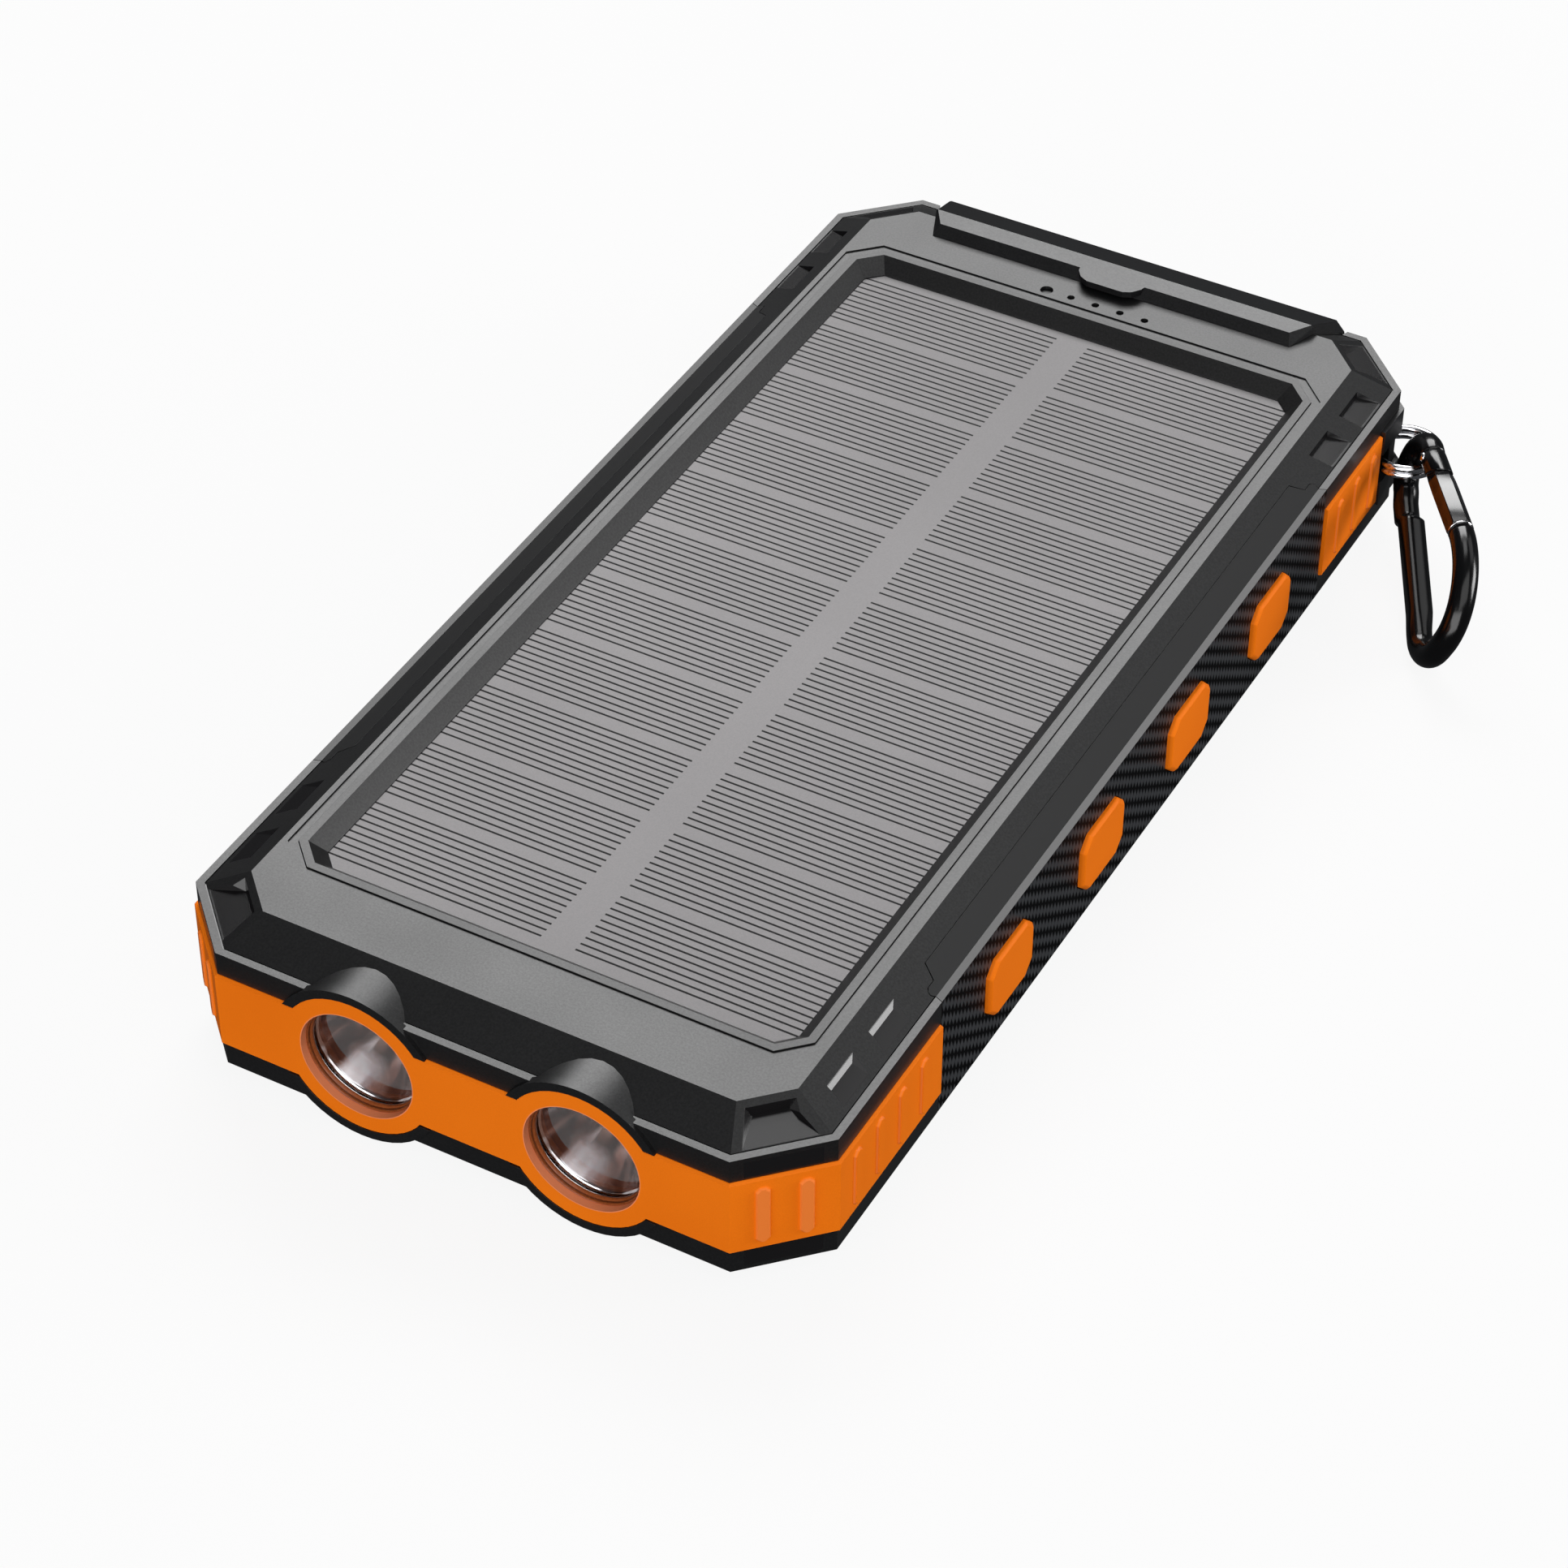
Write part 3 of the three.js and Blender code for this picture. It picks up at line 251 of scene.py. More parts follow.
def carbon_weave(name):
    """Slanting twill bands with saw-tooth edges on the upright faces, grained plastic elsewhere."""
    n = Nodes(name)
    x, y, z = n.split(n.place)
    slope = math.radians(35.9)
    band = 1.83 * MM
    tooth = 1.08 * MM

    def along(a, b, length):
        return n.math("ADD", n.math("MULTIPLY", y, a / length), n.math("MULTIPLY", z, b / length))

    down_band = n.math("FRACT", along(math.cos(slope), -math.sin(slope), tooth))
    over_band = along(math.sin(slope), math.cos(slope), band)
    ramp = n.math("MULTIPLY", n.math("SUBTRACT", down_band, 0.5), 0.42)
    place = n.math("FRACT", n.math("ADD", over_band, ramp))
    from_middle = n.math("ABSOLUTE", n.math("SUBTRACT", place, 0.5))
    light = n.spread(from_middle, 0.22, 0.26)
    strand = n.math("ABSOLUTE", n.math("SUBTRACT", down_band, 0.5))
    groove = n.spread(strand, 0.36, 0.5)
    thread = n.noise(5000.0, 1.0, 0.5)
    facing = n.math("ABSOLUTE", n.split(n.normal_out)[0])
    side = n.math("GREATER_THAN", facing, 0.97)
    fine = n.noise(GRAIN_SCALE, 2.0, 0.6)
    weave = n.mix(light, (0.0020, 0.0020, 0.0022), (0.0420, 0.0440, 0.0475))
    shaded = n.mix(n.math("MULTIPLY", groove, 0.7), weave, (0.0012, 0.0012, 0.0013))
    gloss = n.math("MULTIPLY", light, n.math("SUBTRACT", 1.0, n.math("MULTIPLY", groove, 0.8)))
    woven_gloss = n.mix(gloss, (0.04, 0.04, 0.04), (0.26, 0.26, 0.26))
    n.set(
        colour=n.mix(side, (0.006, 0.006, 0.0063), shaded),
        rough=n.math("ADD", 0.44, n.math("MULTIPLY", n.math("MULTIPLY", side, light), -0.08)),
        specular=n.mix(side, (0.5, 0.5, 0.5), woven_gloss),
    )
    rounding = n.math("MULTIPLY", n.math("SUBTRACT", 1.0, groove), 0.4)
    crown = n.math("ADD", n.math("MULTIPLY", light, 0.6), rounding)
    woven = n.math("ADD", crown, n.math("MULTIPLY", thread, 0.12))
    elsewhere = n.math("SUBTRACT", 1.0, side)
    height = n.math(
        "ADD",
        n.math("MULTIPLY", side, woven),
        n.math("MULTIPLY", elsewhere, n.math("MULTIPLY", fine, 0.08)),
    )
    n.bump(height, 0.03 * MM, 0.8)
    return n.material


def panel_film(name):
    """The satin film over the solar cells, its reflections a little warm."""
    n = Nodes(name)
    fine = n.noise(5000.0, 2.0, 0.6)
    broad = n.noise(30.0, 2.0, 0.5)
    n.set(
        colour=n.mix(broad, (0.030, 0.030, 0.032), (0.036, 0.036, 0.038)),
        rough=n.spread(broad, 0.3, 0.7, 0.35, 0.38),
        specular=n.spread(fine, 0.3, 0.7, 0.54, 0.64),
        tint=(1.0, 0.955, 0.962),
    )
    n.bump(fine, 0.0012 * MM)
    return n.material


def lacquer(name, rough, ior=1.5):
    """Glossy black paint with a faint unevenness."""
    n = Nodes(name)
    colour = (0.002, 0.002, 0.0023)
    broad = n.noise(240.0, 2.0, 0.5)
    n.set(
        colour=n.mix(broad, colour, tuple(c * 1.4 for c in colour)),
        rough=n.spread(broad, 0.3, 0.7, rough, rough + 0.03),
        ior=ior,
    )
    n.bump(n.noise(300.0, 0.0, 0.5), 0.0004 * MM)
    return n.material


def bright_metal(name, colour, rough, wave=0.0, wave_scale=220.0):
    """Polished or foil metal; wave is the depth of its unevenness in millimetres."""
    n = Nodes(name)
    fine = n.noise(1200.0, 3.0, 0.6)
    n.set(
        colour=n.mix(fine, colour, tuple(c * 0.93 for c in colour)),
        metal=1.0,
        rough=n.spread(fine, 0.3, 0.7, rough * 0.8, rough * 1.25),
    )
    if wave:
        n.bump(n.noise(wave_scale, 0.0, 0.5), wave * MM)
    return n.material


def reflector_chrome(name):
    """Bright metal with painted reflections: soft streaks, and a broad painted bright patch low in
    each bowl.
    """
    n = Nodes(name)
    x, y, z = n.split(n.place)
    from_lamp = n.math("SUBTRACT", x, n.math("MULTIPLY", n.math("SIGN", x), LAMP_X * MM))
    radius, from_middle = distance_from_lamp(n, from_lamp, z)
    turn = n.math("ARCTAN2", from_middle, from_lamp)
    ray = n.tree.nodes.new("ShaderNodeCombineXYZ")
    n.put(ray.inputs[0], n.math("COSINE", turn))
    n.put(ray.inputs[1], n.math("SINE", turn))
    n.put(ray.inputs[2], n.math("MULTIPLY", y, 90.0))
    reflection_streak = n.noise(2.3, 1.0, 0.5, ray.outputs[0])
    wobble = n.math("MULTIPLY", n.math("SUBTRACT", reflection_streak, 0.5), 1.2)
    from_bright_patch = n.math("ABSOLUTE", n.math("ADD", n.math("ADD", turn, math.radians(110)), wobble))
    facing_bright_patch = n.spread(from_bright_patch, 0.15, 0.50, 1.0, 0.0)
    painted_bright_patch = n.math("MULTIPLY", facing_bright_patch, n.spread(radius, 4.6 * MM, 5.3 * MM))
    # painted reflections: the streaks and the patch are painted near white; the rest of the bowl is
    # painted dark brown-orange for the mirrored case and rubber
    share = n.math("MAXIMUM", painted_bright_patch, n.math("MULTIPLY", n.spread(reflection_streak, 0.50, 0.62), 0.6))
    fine = n.noise(1200.0, 2.0, 0.6)
    n.set(
        colour=n.mix(share, (0.17, 0.095, 0.075), (0.97, 0.95, 0.98)),
        metal=1.0,
        rough=n.spread(fine, 0.3, 0.7, 0.13, 0.17),
    )
    n.bump(n.noise(1.6, 0.0, 0.5, ray.outputs[0]), 0.12 * MM)
    return n.material


def clear_plastic(name):
    """The clear lens in front of each lamp."""
    n = Nodes(name)
    fine = n.noise(900.0, 2.0, 0.5)
    n.set(
        colour=n.mix(fine, (0.97, 0.98, 0.985), (0.99, 0.995, 1.0)),
        rough=n.spread(fine, 0.3, 0.7, 0.0, 0.015),
        through=1.0,
        ior=1.49,
    )
    return n.material


def solder_resist(name):
    """The green coating of the circuit board."""
    n = Nodes(name)
    fine = n.noise(400.0, 3.0, 0.6)
    n.set(
        colour=n.mix(fine, (0.01, 0.10, 0.03), (0.015, 0.14, 0.045)),
        rough=n.spread(fine, 0.3, 0.7, 0.3, 0.4),
    )
    return n.material


def phosphor(name):
    """The yellow face of an unlit LED."""
    n = Nodes(name)
    fine = n.noise(2500.0, 3.0, 0.6)
    n.set(
        colour=n.mix(fine, (0.80, 0.62, 0.10), (0.90, 0.74, 0.18)),
        rough=n.spread(fine, 0.3, 0.7, 0.3, 0.45),
    )
    n.bump(fine, 0.01 * MM)
    return n.material


looks = {
    "shell": shell_plastic("shell grain"),
    "cover": grained_plastic(
        "port cover rubber", (0.0054, 0.0054, 0.0058), 0.29, 0.003, specular=0.42, speckle=0.12
    ),
    "bezel": grained_plastic("bezel satin", (0.0070, 0.0068, 0.0070), 0.38, 0.003, 0.47, 0.12),
    "grip": carbon_weave("carbon weave"),
    "rubber": orange_rubber("orange rubber"),
    "bumper": orange_rubber("bumper rubber", bumper=True),
    # painted shade: the lamp seal is orange rubber given a dark brown-orange colour for the shade
    # deep in the lamp bore
    "seal": grained_plastic("lamp seal", (0.26, 0.062, 0.014), 0.32, 0.002, 0.4, 0.1),
    "solar": panel_film("panel film"),
    "line": grained_plastic("cell line", (0.004, 0.004, 0.0045), 0.5, 0.001, 0.1),
    "lacquer": lacquer("black lacquer", rough=0.17),
    "gate": lacquer("gate lacquer", rough=0.14, ior=1.68),
    "chrome": reflector_chrome("reflector chrome"),
    "edge": bright_metal("polished edge", (0.82, 0.82, 0.84), 0.12),
    "steel": bright_metal("nickel wire", (0.80, 0.80, 0.82), 0.10),
    "clear": clear_plastic("clear lens"),
    "pipe": grained_plastic("smoked light pipe", (0.003, 0.003, 0.0035), 0.35, 0.001, 0.3),
    "led": phosphor("phosphor"),
    "board": solder_resist("solder resist"),
    "cell": bright_metal("pouch foil", (0.45, 0.52, 0.6), 0.35, 0.04, 60.0),
    "foam": grained_plastic("foam", (0.02, 0.02, 0.02), 0.95, 0.05, 0.2, 0.3, 2500.0),
}


# ---- finishing the CAD pieces -------------------------------------------------------------


SHARP_ANGLE = math.radians(8.5)  # edges bent more than this are rounded
SMOOTH_WEIGHT = 60  # how strongly large faces set the shading of a rounded edge


def finish_node(name, look, bevel):
    """Gives a CAD node its material and rounds its sharp edges with modifiers."""
    obj = nodes[name]
    obj.data.materials.clear()
    obj.data.materials.append(looks[look])
    for polygon in obj.data.polygons:
        polygon.use_smooth = True
    weld = obj.modifiers.new("weld", "WELD")
    weld.merge_threshold = 0.002 * MM
    flat = obj.modifiers.new("flat faces", "DECIMATE")
    flat.decimate_type = "DISSOLVE"
    flat.angle_limit = math.radians(0.4)
    if bevel:
        edge = obj.modifiers.new("edges", "BEVEL")
        edge.width = bevel * MM
        edge.segments = 2
        edge.limit_method = "ANGLE"
        edge.angle_limit = SHARP_ANGLE
        edge.use_clamp_overlap = True
    weighted = obj.modifiers.new("normals", "WEIGHTED_NORMAL")
    weighted.keep_sharp = False
    weighted.weight = SMOOTH_WEIGHT


# Each CAD node that keeps its shape: its look and the width of its rounded edges in millimetres.
node_looks = {
    "top_cover": ("shell", 0.045),
    "bottom_cover": ("shell", 0.045),
    "panel_bezel": ("bezel", 0.06),
    "solar_panel": ("solar", 0.05),
    "light_pipe": ("pipe", 0.05),
    "front_bumper": ("bumper", 0.1),
    "rear_bumper_left": ("bumper", 0.1),
    "rear_bumper_right": ("bumper", 0.1),
    "side_grip_left": ("grip", 0.045),
    "side_grip_right": ("grip", 0.045),
    "power_button": ("rubber", 0.14),
    "button_switch": ("steel", 0.05),
    "main_board": ("board", 0.0),
    "battery_cell_front": ("cell", 0.3),
    "battery_cell_rear": ("cell", 0.3),
    "foam_pad": ("foam", 0.3),
    "port_cover": ("cover", 0.14),
    "cover_anchor": ("cover", 0.1),
    "lanyard_post": ("shell", 0.12),
    "usb_c_socket": ("steel", 0.05),
    "usb_a_socket_left": ("steel", 0.05),
    "usb_a_socket_right": ("steel", 0.05),
}
for side in ("left", "right"):
    node_looks[f"flashlight_lens_{side}"] = ("clear", 0.1)
    node_looks[f"flashlight_led_{side}"] = ("led", 0.05)
for index in range(1, 5):
    node_looks[f"case_screw_{index}"] = ("steel", 0.08)
    node_looks[f"grip_pad_right_{index}"] = ("rubber", 0.14)
    if index < 4:
        node_looks[f"grip_pad_left_{index}"] = ("rubber", 0.14)
for name, (look, bevel) in node_looks.items():
    finish_node(name, look, bevel)


# ---- mesh helpers -------------------------------------------------------------------------


def mesh_object(name, vertices, faces, look, smooth=True):
    """A new mesh piece from points in millimetres."""
    mesh = bpy.data.meshes.new(name)
    mesh.from_pydata([Vector(v) * MM for v in vertices], [], faces)
    mesh.materials.append(looks[look])
    for polygon in mesh.polygons:
        polygon.use_smooth = smooth
    obj = bpy.data.objects.new(name, mesh)
    scene.collection.objects.link(obj)
    work = bmesh.new()
    work.from_mesh(mesh)
    bmesh.ops.recalc_face_normals(work, faces=work.faces)
    work.to_mesh(mesh)
    work.free()
    return obj


def sweep(name, rings, look, closed=False):
    """A skin over rings of points in millimetres."""
    count = len(rings[0])
    vertices = [point for ring in rings for point in ring]
    faces = []
    levels = len(rings) if closed else len(rings) - 1
    for level in range(levels):
        upper = (level + 1) % len(rings)
        for i in range(count):
            j = (i + 1) % count
            below, above = level * count, upper * count
            faces.append((below + i, below + j, above + j, above + i))
    if not closed:
        faces.append(tuple(range(count)))
        faces.append(tuple(range((len(rings) - 1) * count, len(rings) * count)))
    return mesh_object(name, vertices, faces, look)


def lathe(name, profile, centre, look):
    """A closed profile of (radius, y) turned about an axis along Y."""
    steps = 96
    rings = []
    for k in range(steps):
        angle = 2 * math.pi * k / steps
        ring = []
        for radius, depth in profile:
            x = centre[0] + radius * math.cos(angle)
            z = centre[2] + radius * math.sin(angle)
            ring.append((x, centre[1] + depth, z))
        rings.append(ring)
    return sweep(name, rings, look, closed=True)


# ---- solar panel lines --------------------------------------------------------------------


def panel_lines():
    """Dark cell lines in groups of ten, either side of a plain strip down the middle."""
    pitch = 1.0518
    first = 61.89
    half = 0.125
    low = PANEL_TOP - 0.01
    high = PANEL_TOP + 0.012
    vertices, faces = [], []
    for index in range(120):
        if index % 11 == 10:
            continue
        y = first - index * pitch
        for x0, x1 in ((-29.7, -2.15), (2.15, 29.7)):
            base = len(vertices)
            front, back = y - half, y + half
            for z in (low, high):
                vertices += [(x0, front, z), (x1, front, z), (x1, back, z), (x0, back, z)]
            faces.append(tuple(base + k for k in (4, 5, 6, 7)))
            for k in range(4):
                ahead = (k + 1) % 4
                faces.append((base + k, base + ahead, base + 4 + ahead, base + 4 + k))
    return mesh_object("panel_lines", vertices, faces, "line", smooth=False)


lines = panel_lines()
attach(lines, "case")


# ---- flashlights --------------------------------------------------------------------------

LENS_FRONT = -80.45
REFLECTOR_FRONT = LENS_FRONT + 1.05


def reflector_profile():
    """A parabolic bowl of even thickness with a flange at its mouth."""
    throat, mouth, depth = 1.9, 6.66, 7.2
    steps = 28
    inner, outer = [], []
    for i in range(steps + 1):
        radius = throat + (mouth - throat) * i / steps
        along = depth * (1 - (radius**2 - throat**2) / (mouth**2 - throat**2))
        inner.append((radius, along))
        outer.append((radius + 0.8, along + 0.35))
    return inner + [(7.6, 0.0), (7.6, 0.7)] + outer[:-1][::-1]


def seal_profile():
    """The tapered rubber seal in front of the lens, with one groove."""
    bore, front, back = 7.05, -1.05, -0.05
    lip = [(bore, front), (6.98, front), (6.90, -0.92)]
    groove = [(6.86, -0.66), (6.93, -0.63), (6.93, -0.55), (6.83, -0.52)]
    return lip + groove + [(6.74, -0.16), (6.76, back), (bore, back)]


def edge_profile():
    """The thin bright lip of the reflector round the lens."""
    return [(6.72, -0.12), (6.69, -0.15), (6.655, -0.13), (6.655, -0.07), (6.71, -0.07)]


for label, side in (("left", -1), ("right", 1)):
    x = side * LAMP_X
    bowl_mouth = (x, REFLECTOR_FRONT, MIDDLE)
    lens_face = (x, LENS_FRONT, MIDDLE)
    bowl = lathe(f"reflector_bowl_{label}", reflector_profile(), bowl_mouth, "chrome")
    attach(bowl, "case")
    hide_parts(f"reflector_{label}")
    seal = lathe(f"lens_seal_{label}", seal_profile(), lens_face, "seal")
    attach(seal, "case")
    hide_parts(f"lens_ring_{label}")
    lip = lathe(f"lens_lip_{label}", edge_profile(), lens_face, "edge")
    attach(lip, "case")


# ---- split ring ---------------------------------------------------------------------------


RING_CENTRE = (41.88, 72.95)
RING_RADIUS = 4.25
RING_WIRE = 0.5


def split_ring():
    """One wire coiled twice round, with its ends lying against the turns."""
    turns, steps, sides = 2.0, 200, 14
    rings = []
    for k in range(steps + 1):
        share = k / steps
        angle = math.radians(150) + 2 * math.pi * turns * share
        lap = share * turns
        rise = max(0.0, min(1.0, (lap - 0.93) / 0.14))
        height = -0.5 + rise * rise * (3 - 2 * rise)
        taper = RING_WIRE * min(1.0, 0.72 + 6 * min(share, 1 - share))
        loop = []
        for j in range(sides):
            turn = 2 * math.pi * j / sides
            out = RING_RADIUS + taper * math.cos(turn)
            loop.append((
                RING_CENTRE[0] + out * math.cos(angle),
                RING_CENTRE[1] + out * math.sin(angle),
                MIDDLE + height + taper * math.sin(turn),
            ))
        rings.append(loop)
    return sweep("split_ring_wire", rings, "steel")


ring = split_ring()
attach(ring, "split_ring")
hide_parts("split_ring")


# ---- carabiner ----------------------------------------------------------------------------

# How it hangs from the ring, and its outline in its own plane, in millimetres.
CLIP_HEADING = math.radians(-61.5)
CLIP_DIP = math.radians(14.2)
CLIP_ROLL = math.radians(69.7)
HOOK_ANGLE = math.radians(-42)
BOW, BOW_END = 3.6, 6.0
SHOULDER = Vector((12.3, 21.9))
FOOT, FOOT_RADIUS = 29.4, 4.3
WIRE = 1.6

heading = Vector((math.cos(CLIP_HEADING), math.sin(CLIP_HEADING), 0))
level = Vector((-heading.y, heading.x, 0))
up = Vector((0, 0, 1))
down = heading * math.cos(CLIP_DIP) - up * math.sin(CLIP_DIP)
lean = heading * math.sin(CLIP_DIP) + up * math.cos(CLIP_DIP)
across = level * math.cos(CLIP_ROLL) + lean * math.sin(CLIP_ROLL)
normal = across.cross(down)
hook = Vector((
    RING_CENTRE[0] + RING_RADIUS * math.cos(HOOK_ANGLE),
    RING_CENTRE[1] + RING_RADIUS * math.sin(HOOK_ANGLE),
    MIDDLE,
))
gate_angle = math.atan2(SHOULDER.x - 2 * BOW, SHOULDER.y - BOW_END)
gate_line = Vector((math.sin(gate_angle), math.cos(gate_angle)))
gate_side = Vector((gate_line.y, -gate_line.x))
pivot = Vector((2 * BOW, BOW_END)) + gate_line * 0.7
gate_reach = (SHOULDER - pivot).length


def on_clip(q, s, n):
    """A place on the carabiner: q across it, s down its length, n off its plane."""
    return hook + across * (q - BOW + 0.15) + down * (s - 5.55) + normal * (n - 0.3)


def on_gate(side, along, n):
    """A place on the gate: beside its line, along it from the pivot, n off the plane."""
    point = pivot + gate_line * along + gate_side * side
    return on_clip(point.x, point.y, n)


def bezier(points, share):
    """A place on a cubic curve."""
    a, b, c, d = points
    rest = 1 - share
    return a * rest**3 + b * 3 * rest**2 * share + c * 3 * rest * share**2 + d * share**3


def clip_path():
    """The middle line from the fork round the ring end, the spine and the foot to the nose."""
    turns = [-math.pi * k / 36 for k in range(36)]
    path = [Vector((BOW + BOW * math.cos(t), BOW_END + BOW * math.sin(t))) for t in turns]
    path += [Vector((0, BOW_END + (FOOT - BOW_END) * k / 60)) for k in range(60)]
    for k in range(24):
        turn = math.pi - (math.pi / 2) * k / 24
        along = FOOT + FOOT_RADIUS * math.sin(turn)
        path.append(Vector((FOOT_RADIUS + FOOT_RADIUS * math.cos(turn), along)))
    end = FOOT + FOOT_RADIUS
    start = Vector((FOOT_RADIUS + 1.2, end))
    path += [Vector((FOOT_RADIUS + 1.2 * k / 3, end)) for k in range(3)]
    low_handle = Vector((SHOULDER.x - 1.0, end - 0.2))
    high_handle = Vector((SHOULDER.x + 1.3, SHOULDER.y + 5))
    bend = (start, low_handle, high_handle, SHOULDER)
    path += [bezier(bend, k / 48) for k in range(49)]
    return path


def smooth(low, high, value):
    """Rises gently from 0 at low to 1 at high."""
    share = max(0.0, min(1.0, (value - low) / (high - low)))
    return share * share * (3 - 2 * share)


def clip_body():
    """The wire of the carabiner: round, flattened along the spine and drawn in at its neck."""
    path = clip_path()
    sides = 32
    rings = []
    for k, point in enumerate(path):
        ahead = path[min(k + 1, len(path) - 1)]
        behind = path[max(k - 1, 0)]
        tangent = (ahead - behind).normalized()
        side = Vector((tangent.y, -tangent.x))
        spine, neck = 0.0, 0.0
        if point.x < 2.0:
            spine = smooth(10.7, 11.3, point.y) * (1 - smooth(25.0, 28.8, point.y))
            neck = smooth(6.0, 8.5, point.y) * (1 - smooth(10.7, 11.5, point.y))
        wide = WIRE - 0.02 * spine
        thin = WIRE - 0.15 * spine
        power = 1.0 - 0.3 * spine
        shift = 0.16 * spine
        middle = point.x + 0.22 * spine - 0.42 * neck
        loop = []
        for j in range(sides):
            turn = 2 * math.pi * j / sides
            c, s = math.cos(turn), math.sin(turn)
            out = thin * math.copysign(abs(c) ** power, c)
            lift = wide * math.copysign(abs(s) ** power, s)
            loop.append(on_clip(middle + side.x * out, point.y + side.y * out, lift + shift))
        rings.append(loop)
    return sweep("carabiner_wire", rings, "lacquer")


FACETS = [math.radians(-25 + 60 * k) for k in range(6)]
HOUSING_END = 3.3
SLANT = 0.7  # how steeply the joint between housing and sleeve is cut


def facet_loop(radius, corner=0.16):
    """A rounded hexagon: its flats face the FACETS directions, radius is to a flat."""
    loop = []
    reach = radius / math.cos(math.radians(30)) - corner / math.cos(math.radians(30))
    for facing in FACETS:
        middle = facing + math.radians(30)
        x, y = reach * math.cos(middle), reach * math.sin(middle)
        for k in range(6):
            turn = facing + math.radians(60) * k / 5
            loop.append((x + corner * math.cos(turn), y + corner * math.sin(turn)))
    return loop


def gate_prism(name, outline, look):
    """A six-sided piece along the gate: outline is (along, radius, slant)."""
    rings = []
    for along, radius, slant in outline:
        rings.append([on_gate(a, along + slant * a, b) for a, b in facet_loop(radius)])
    return sweep(name, rings, look)


def gate_tube(name, outline, look):
    """A round piece along the gate: outline is (along, radius)."""
    steps = 40
    turns = [2 * math.pi * j / steps for j in range(steps)]
    rings = []
    for along, radius in outline:
        rings.append([on_gate(radius * math.cos(t), along, radius * math.sin(t)) for t in turns])
    return sweep(name, rings, look)


body = clip_body()
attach(body, "carabiner")
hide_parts("carabiner_body")


def housing():
    """The end of the bow, slotted on its inner side for the gate's tongue."""
    radius, slot, wall = WIRE + 0.03, 0.76, 0.85
    start = math.pi - math.asin(slot / radius)
    turns = [start - 2 * start * k / 48 for k in range(49)]
    loop = [(radius * math.cos(t), radius * math.sin(t)) for t in turns]
    loop += [(wall, -slot), (wall, slot)]
    bow_end = Vector((2 * BOW, BOW_END - 0.05))
    rings = [[on_clip(bow_end.x + a, bow_end.y, b) for a, b in loop]]
    sections = (
        (0.25, 0.0, 0.0),
        (0.7, 0.0, 0.2),
        (HOUSING_END - 0.1, 0.0, SLANT),
        (HOUSING_END, 0.1, SLANT),
    )
    for along, shrink, slant in sections:
        scale = 1 - shrink / radius
        ring = []
        for a, b in loop:
            side = a * scale if abs(b) > slot or a < 0 else a
            lift = b * scale if abs(b) > slot else b
            ring.append(on_gate(side, along + slant * a, lift))
        rings.append(ring)
    return sweep("gate_housing", rings, "lacquer")


cheeks = housing()
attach(cheeks, "carabiner")

sleeve_end = gate_reach - 0.78
sleeve_outline = [
    (HOUSING_END + 0.12, 1.26, SLANT),
    (HOUSING_END + 0.2, 1.40, SLANT),
    (5.0, 1.47, 0.3),
    (7.0, 1.50, 0.0),
    (sleeve_end - 0.1, 1.50, 0.0),
    (sleeve_end, 1.44, 0.0),
]
collar_outline = [
    (sleeve_end - 0.02, 1.45),
    (sleeve_end + 0.03, 1.60),
    (sleeve_end + 0.17, 1.60),
    (sleeve_end + 0.22, 1.45),
]
nose_outline = [(sleeve_end + 0.15, 1.52), (gate_reach - 0.36, 1.52), (gate_reach - 0.3, 1.46)]
sleeve = gate_prism("gate_sleeve", sleeve_outline, "gate")
collar = gate_tube("gate_collar", collar_outline, "edge")
nose = gate_tube("gate_nose", nose_outline, "lacquer")
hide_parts("carabiner_gate")
for piece, slot in ((sleeve, "lacquer"), (collar, "steel"), (nose, "lacquer")):
    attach(piece, "carabiner_gate")

eye = 0.6  # radius of the tongue's rounded end
eye_turns = [math.pi * k / 16 for k in range(17)]
tongue_outline = [(eye * math.cos(t), -eye * math.sin(t)) for t in eye_turns]
tongue_outline += [(-0.95, 1.2), (-1.0, 2.6), (0.7, 2.6), (0.7, 1.0)]
tongue_rings = [[on_gate(a, b, lift) for a, b in tongue_outline] for lift in (-0.62, 0.62)]
tongue = sweep("gate_tongue", tongue_rings, "lacquer")
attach(tongue, "carabiner_gate")


def rivet():
    """The pin through the housing and the tongue, with a domed head at each end."""
    head = [(1.5, 0.4), (1.5, 0.58), (1.62, 0.58), (1.80, 0.42), (1.86, 0.2)]
    outline = [(-lift, radius) for lift, radius in reversed(head)] + head
    turns = [2 * math.pi * k / 28 for k in range(28)]
    rings = []
    for lift, radius in outline:
        rings.append([on_gate(radius * math.cos(t), radius * math.sin(t), lift) for t in turns])
    return sweep("gate_rivet", rings, "edge")


pin = rivet()
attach(pin, "carabiner")
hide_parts("gate_pin")


# ---- floor, light and camera --------------------------------------------------------------


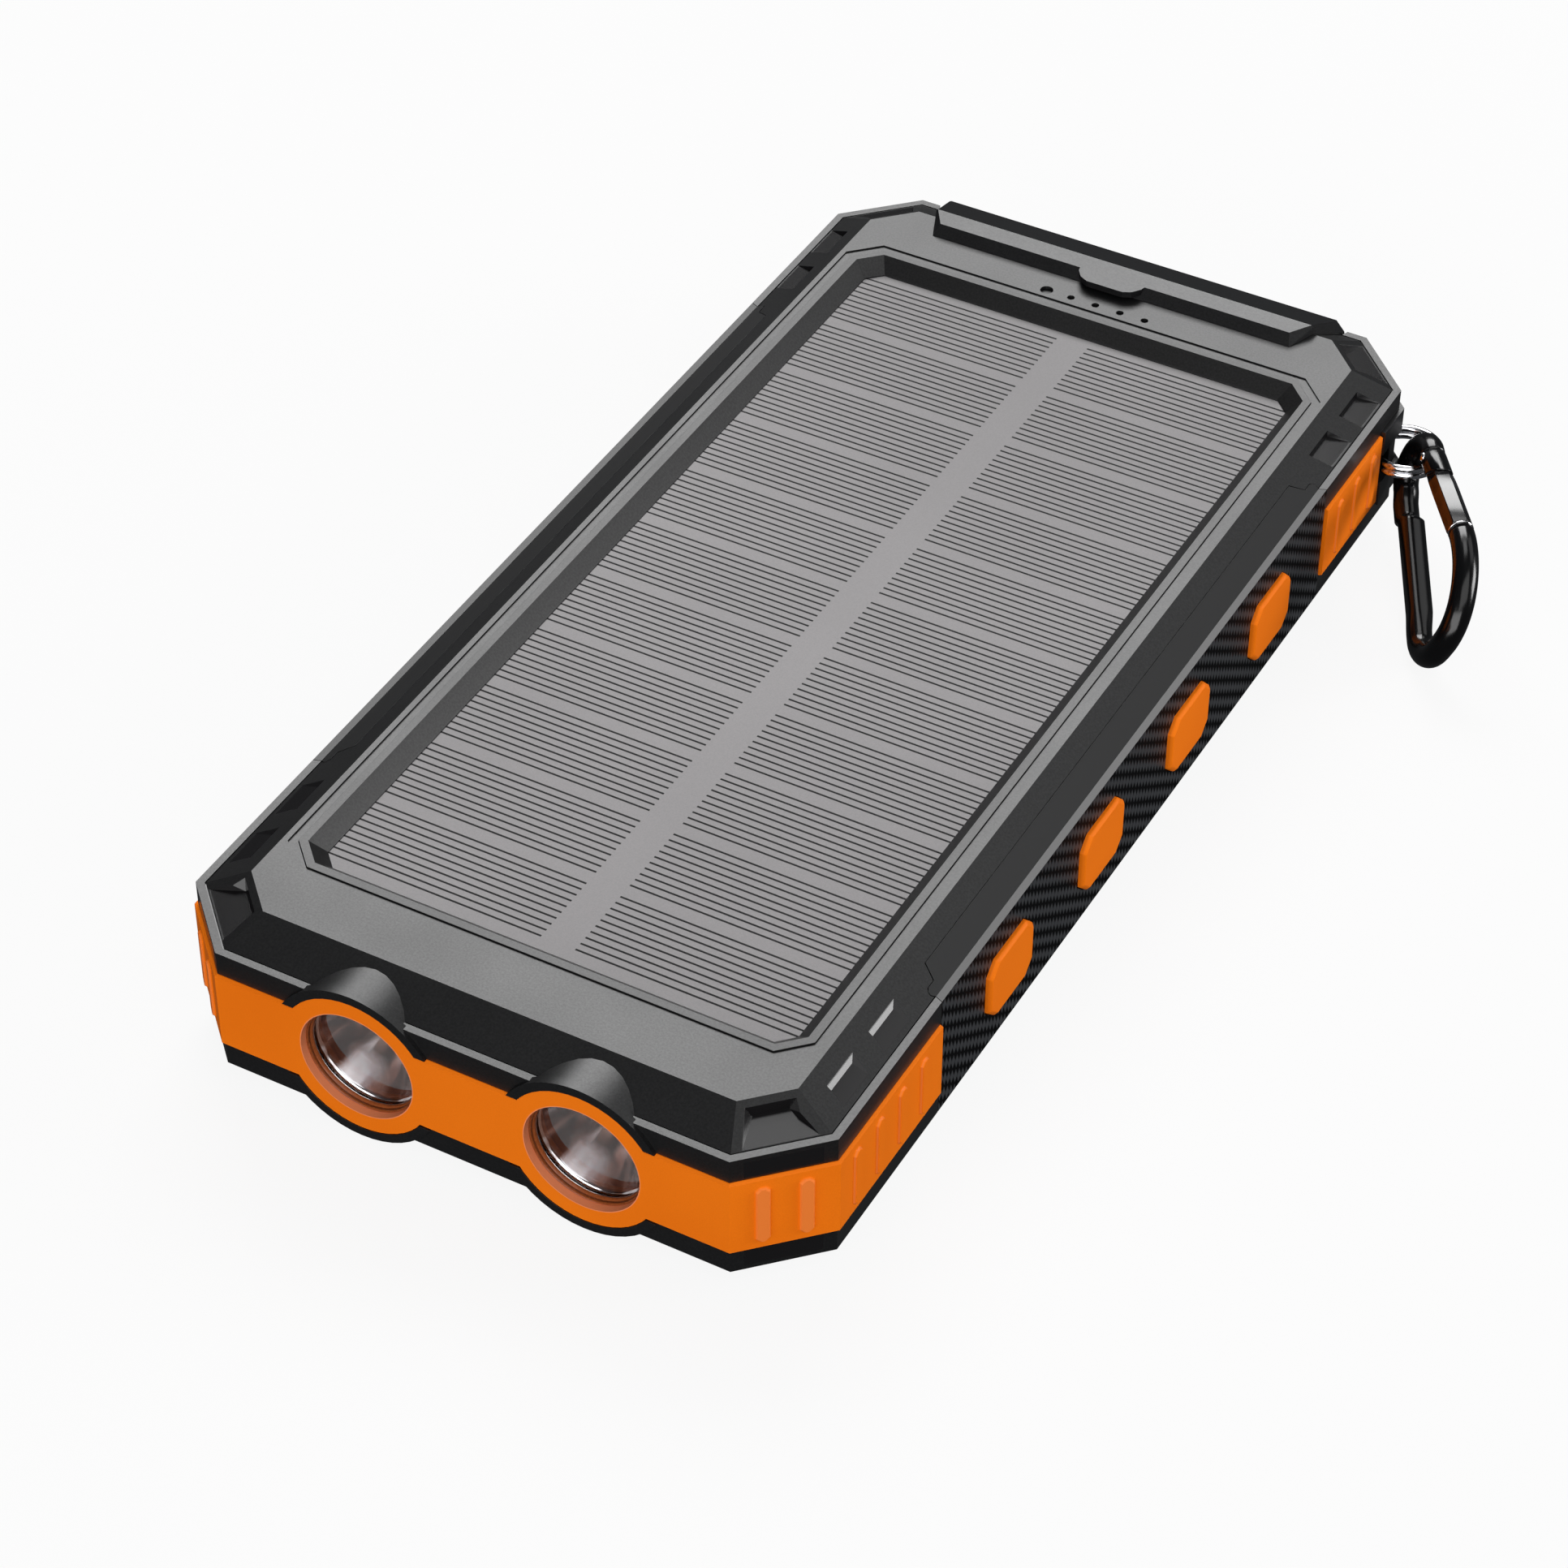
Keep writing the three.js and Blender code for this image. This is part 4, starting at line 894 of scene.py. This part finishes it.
def floor():
    """A pale floor, lit by itself, that the object's gloss doesn't pick up."""
    mesh = bpy.data.meshes.new("floor")
    reach = 3.0
    corners = [(-reach, -reach, 0), (reach, -reach, 0), (reach, reach, 0), (-reach, reach, 0)]
    mesh.from_pydata([Vector(c) for c in corners], [], [(0, 1, 2, 3)])
    n = Nodes("pale floor")
    cloud = n.noise(2.0, 2.0, 0.5)
    n.set(
        colour=n.mix(cloud, (0.06, 0.06, 0.06), (0.07, 0.07, 0.07)),
        rough=0.9,
        specular=0.0,
        glow=(1.0, 1.0, 1.0),
        glow_strength=0.90,
    )
    mesh.materials.append(n.material)
    obj = bpy.data.objects.new("floor", mesh)
    scene.collection.objects.link(obj)
    obj.location.z = -0.0002
    obj.visible_glossy = False
    obj.visible_diffuse = False


floor()

CENTRE = Vector((0.0, 0.0, 0.011))


def softbox(name, direction, distance, width, height, watts):
    """A rectangular light that looks at the middle of the object from a direction."""
    light = bpy.data.lights.new(name, "AREA")
    light.shape = "RECTANGLE"
    light.size = width
    light.size_y = height
    light.energy = watts
    obj = bpy.data.objects.new(name, light)
    scene.collection.objects.link(obj)
    toward = Vector(direction).normalized()
    obj.location = CENTRE + toward * distance
    obj.rotation_euler = toward.to_track_quat("Z", "Y").to_euler()


softbox("back softbox", (-0.36, 0.654, 0.70), 1.3, 0.9, 0.6, 13.4)
softbox("front softbox", (0.14, -0.96, 0.18), 1.5, 2.0, 1.0, 20.8)
softbox("ceiling softbox", (0.42, -0.42, 0.80), 1.2, 1.2, 0.9, 4.4)
softbox("side softbox", (0.84, 0.50, 0.24), 1.2, 0.56, 0.48, 8.2)
softbox("fill softbox", (0.40, 0.62, 0.68), 1.3, 0.6, 0.6, 0.9)
softbox("overhead softbox", (-0.16, 0.30, 0.94), 1.2, 0.5, 0.35, 1.2)

world = bpy.data.worlds.new("studio")
scene.world = world
world.use_nodes = True
sky = world.node_tree.nodes["Background"]
sky.inputs["Color"].default_value = (0.05, 0.052, 0.055, 1.0)
sky.inputs["Strength"].default_value = 1.0

camera_data = bpy.data.cameras.new("camera")
camera_data.lens = 100.2
camera_data.sensor_width = 36.0
camera = bpy.data.objects.new("camera", camera_data)
scene.collection.objects.link(camera)
forward = Vector((-0.36075, 0.65448, -0.66447)).normalized()
right = Vector((0.87487, 0.48435, 0.00210)).normalized()
top = right.cross(forward).normalized()
right = forward.cross(top)
place = Matrix((right, top, -forward)).transposed().to_4x4()
place.translation = Vector((0.18510, -0.34890, 0.34452))
camera.matrix_world = place
scene.camera = camera

scene.view_settings.view_transform = "Standard"
scene.view_settings.look = "None"
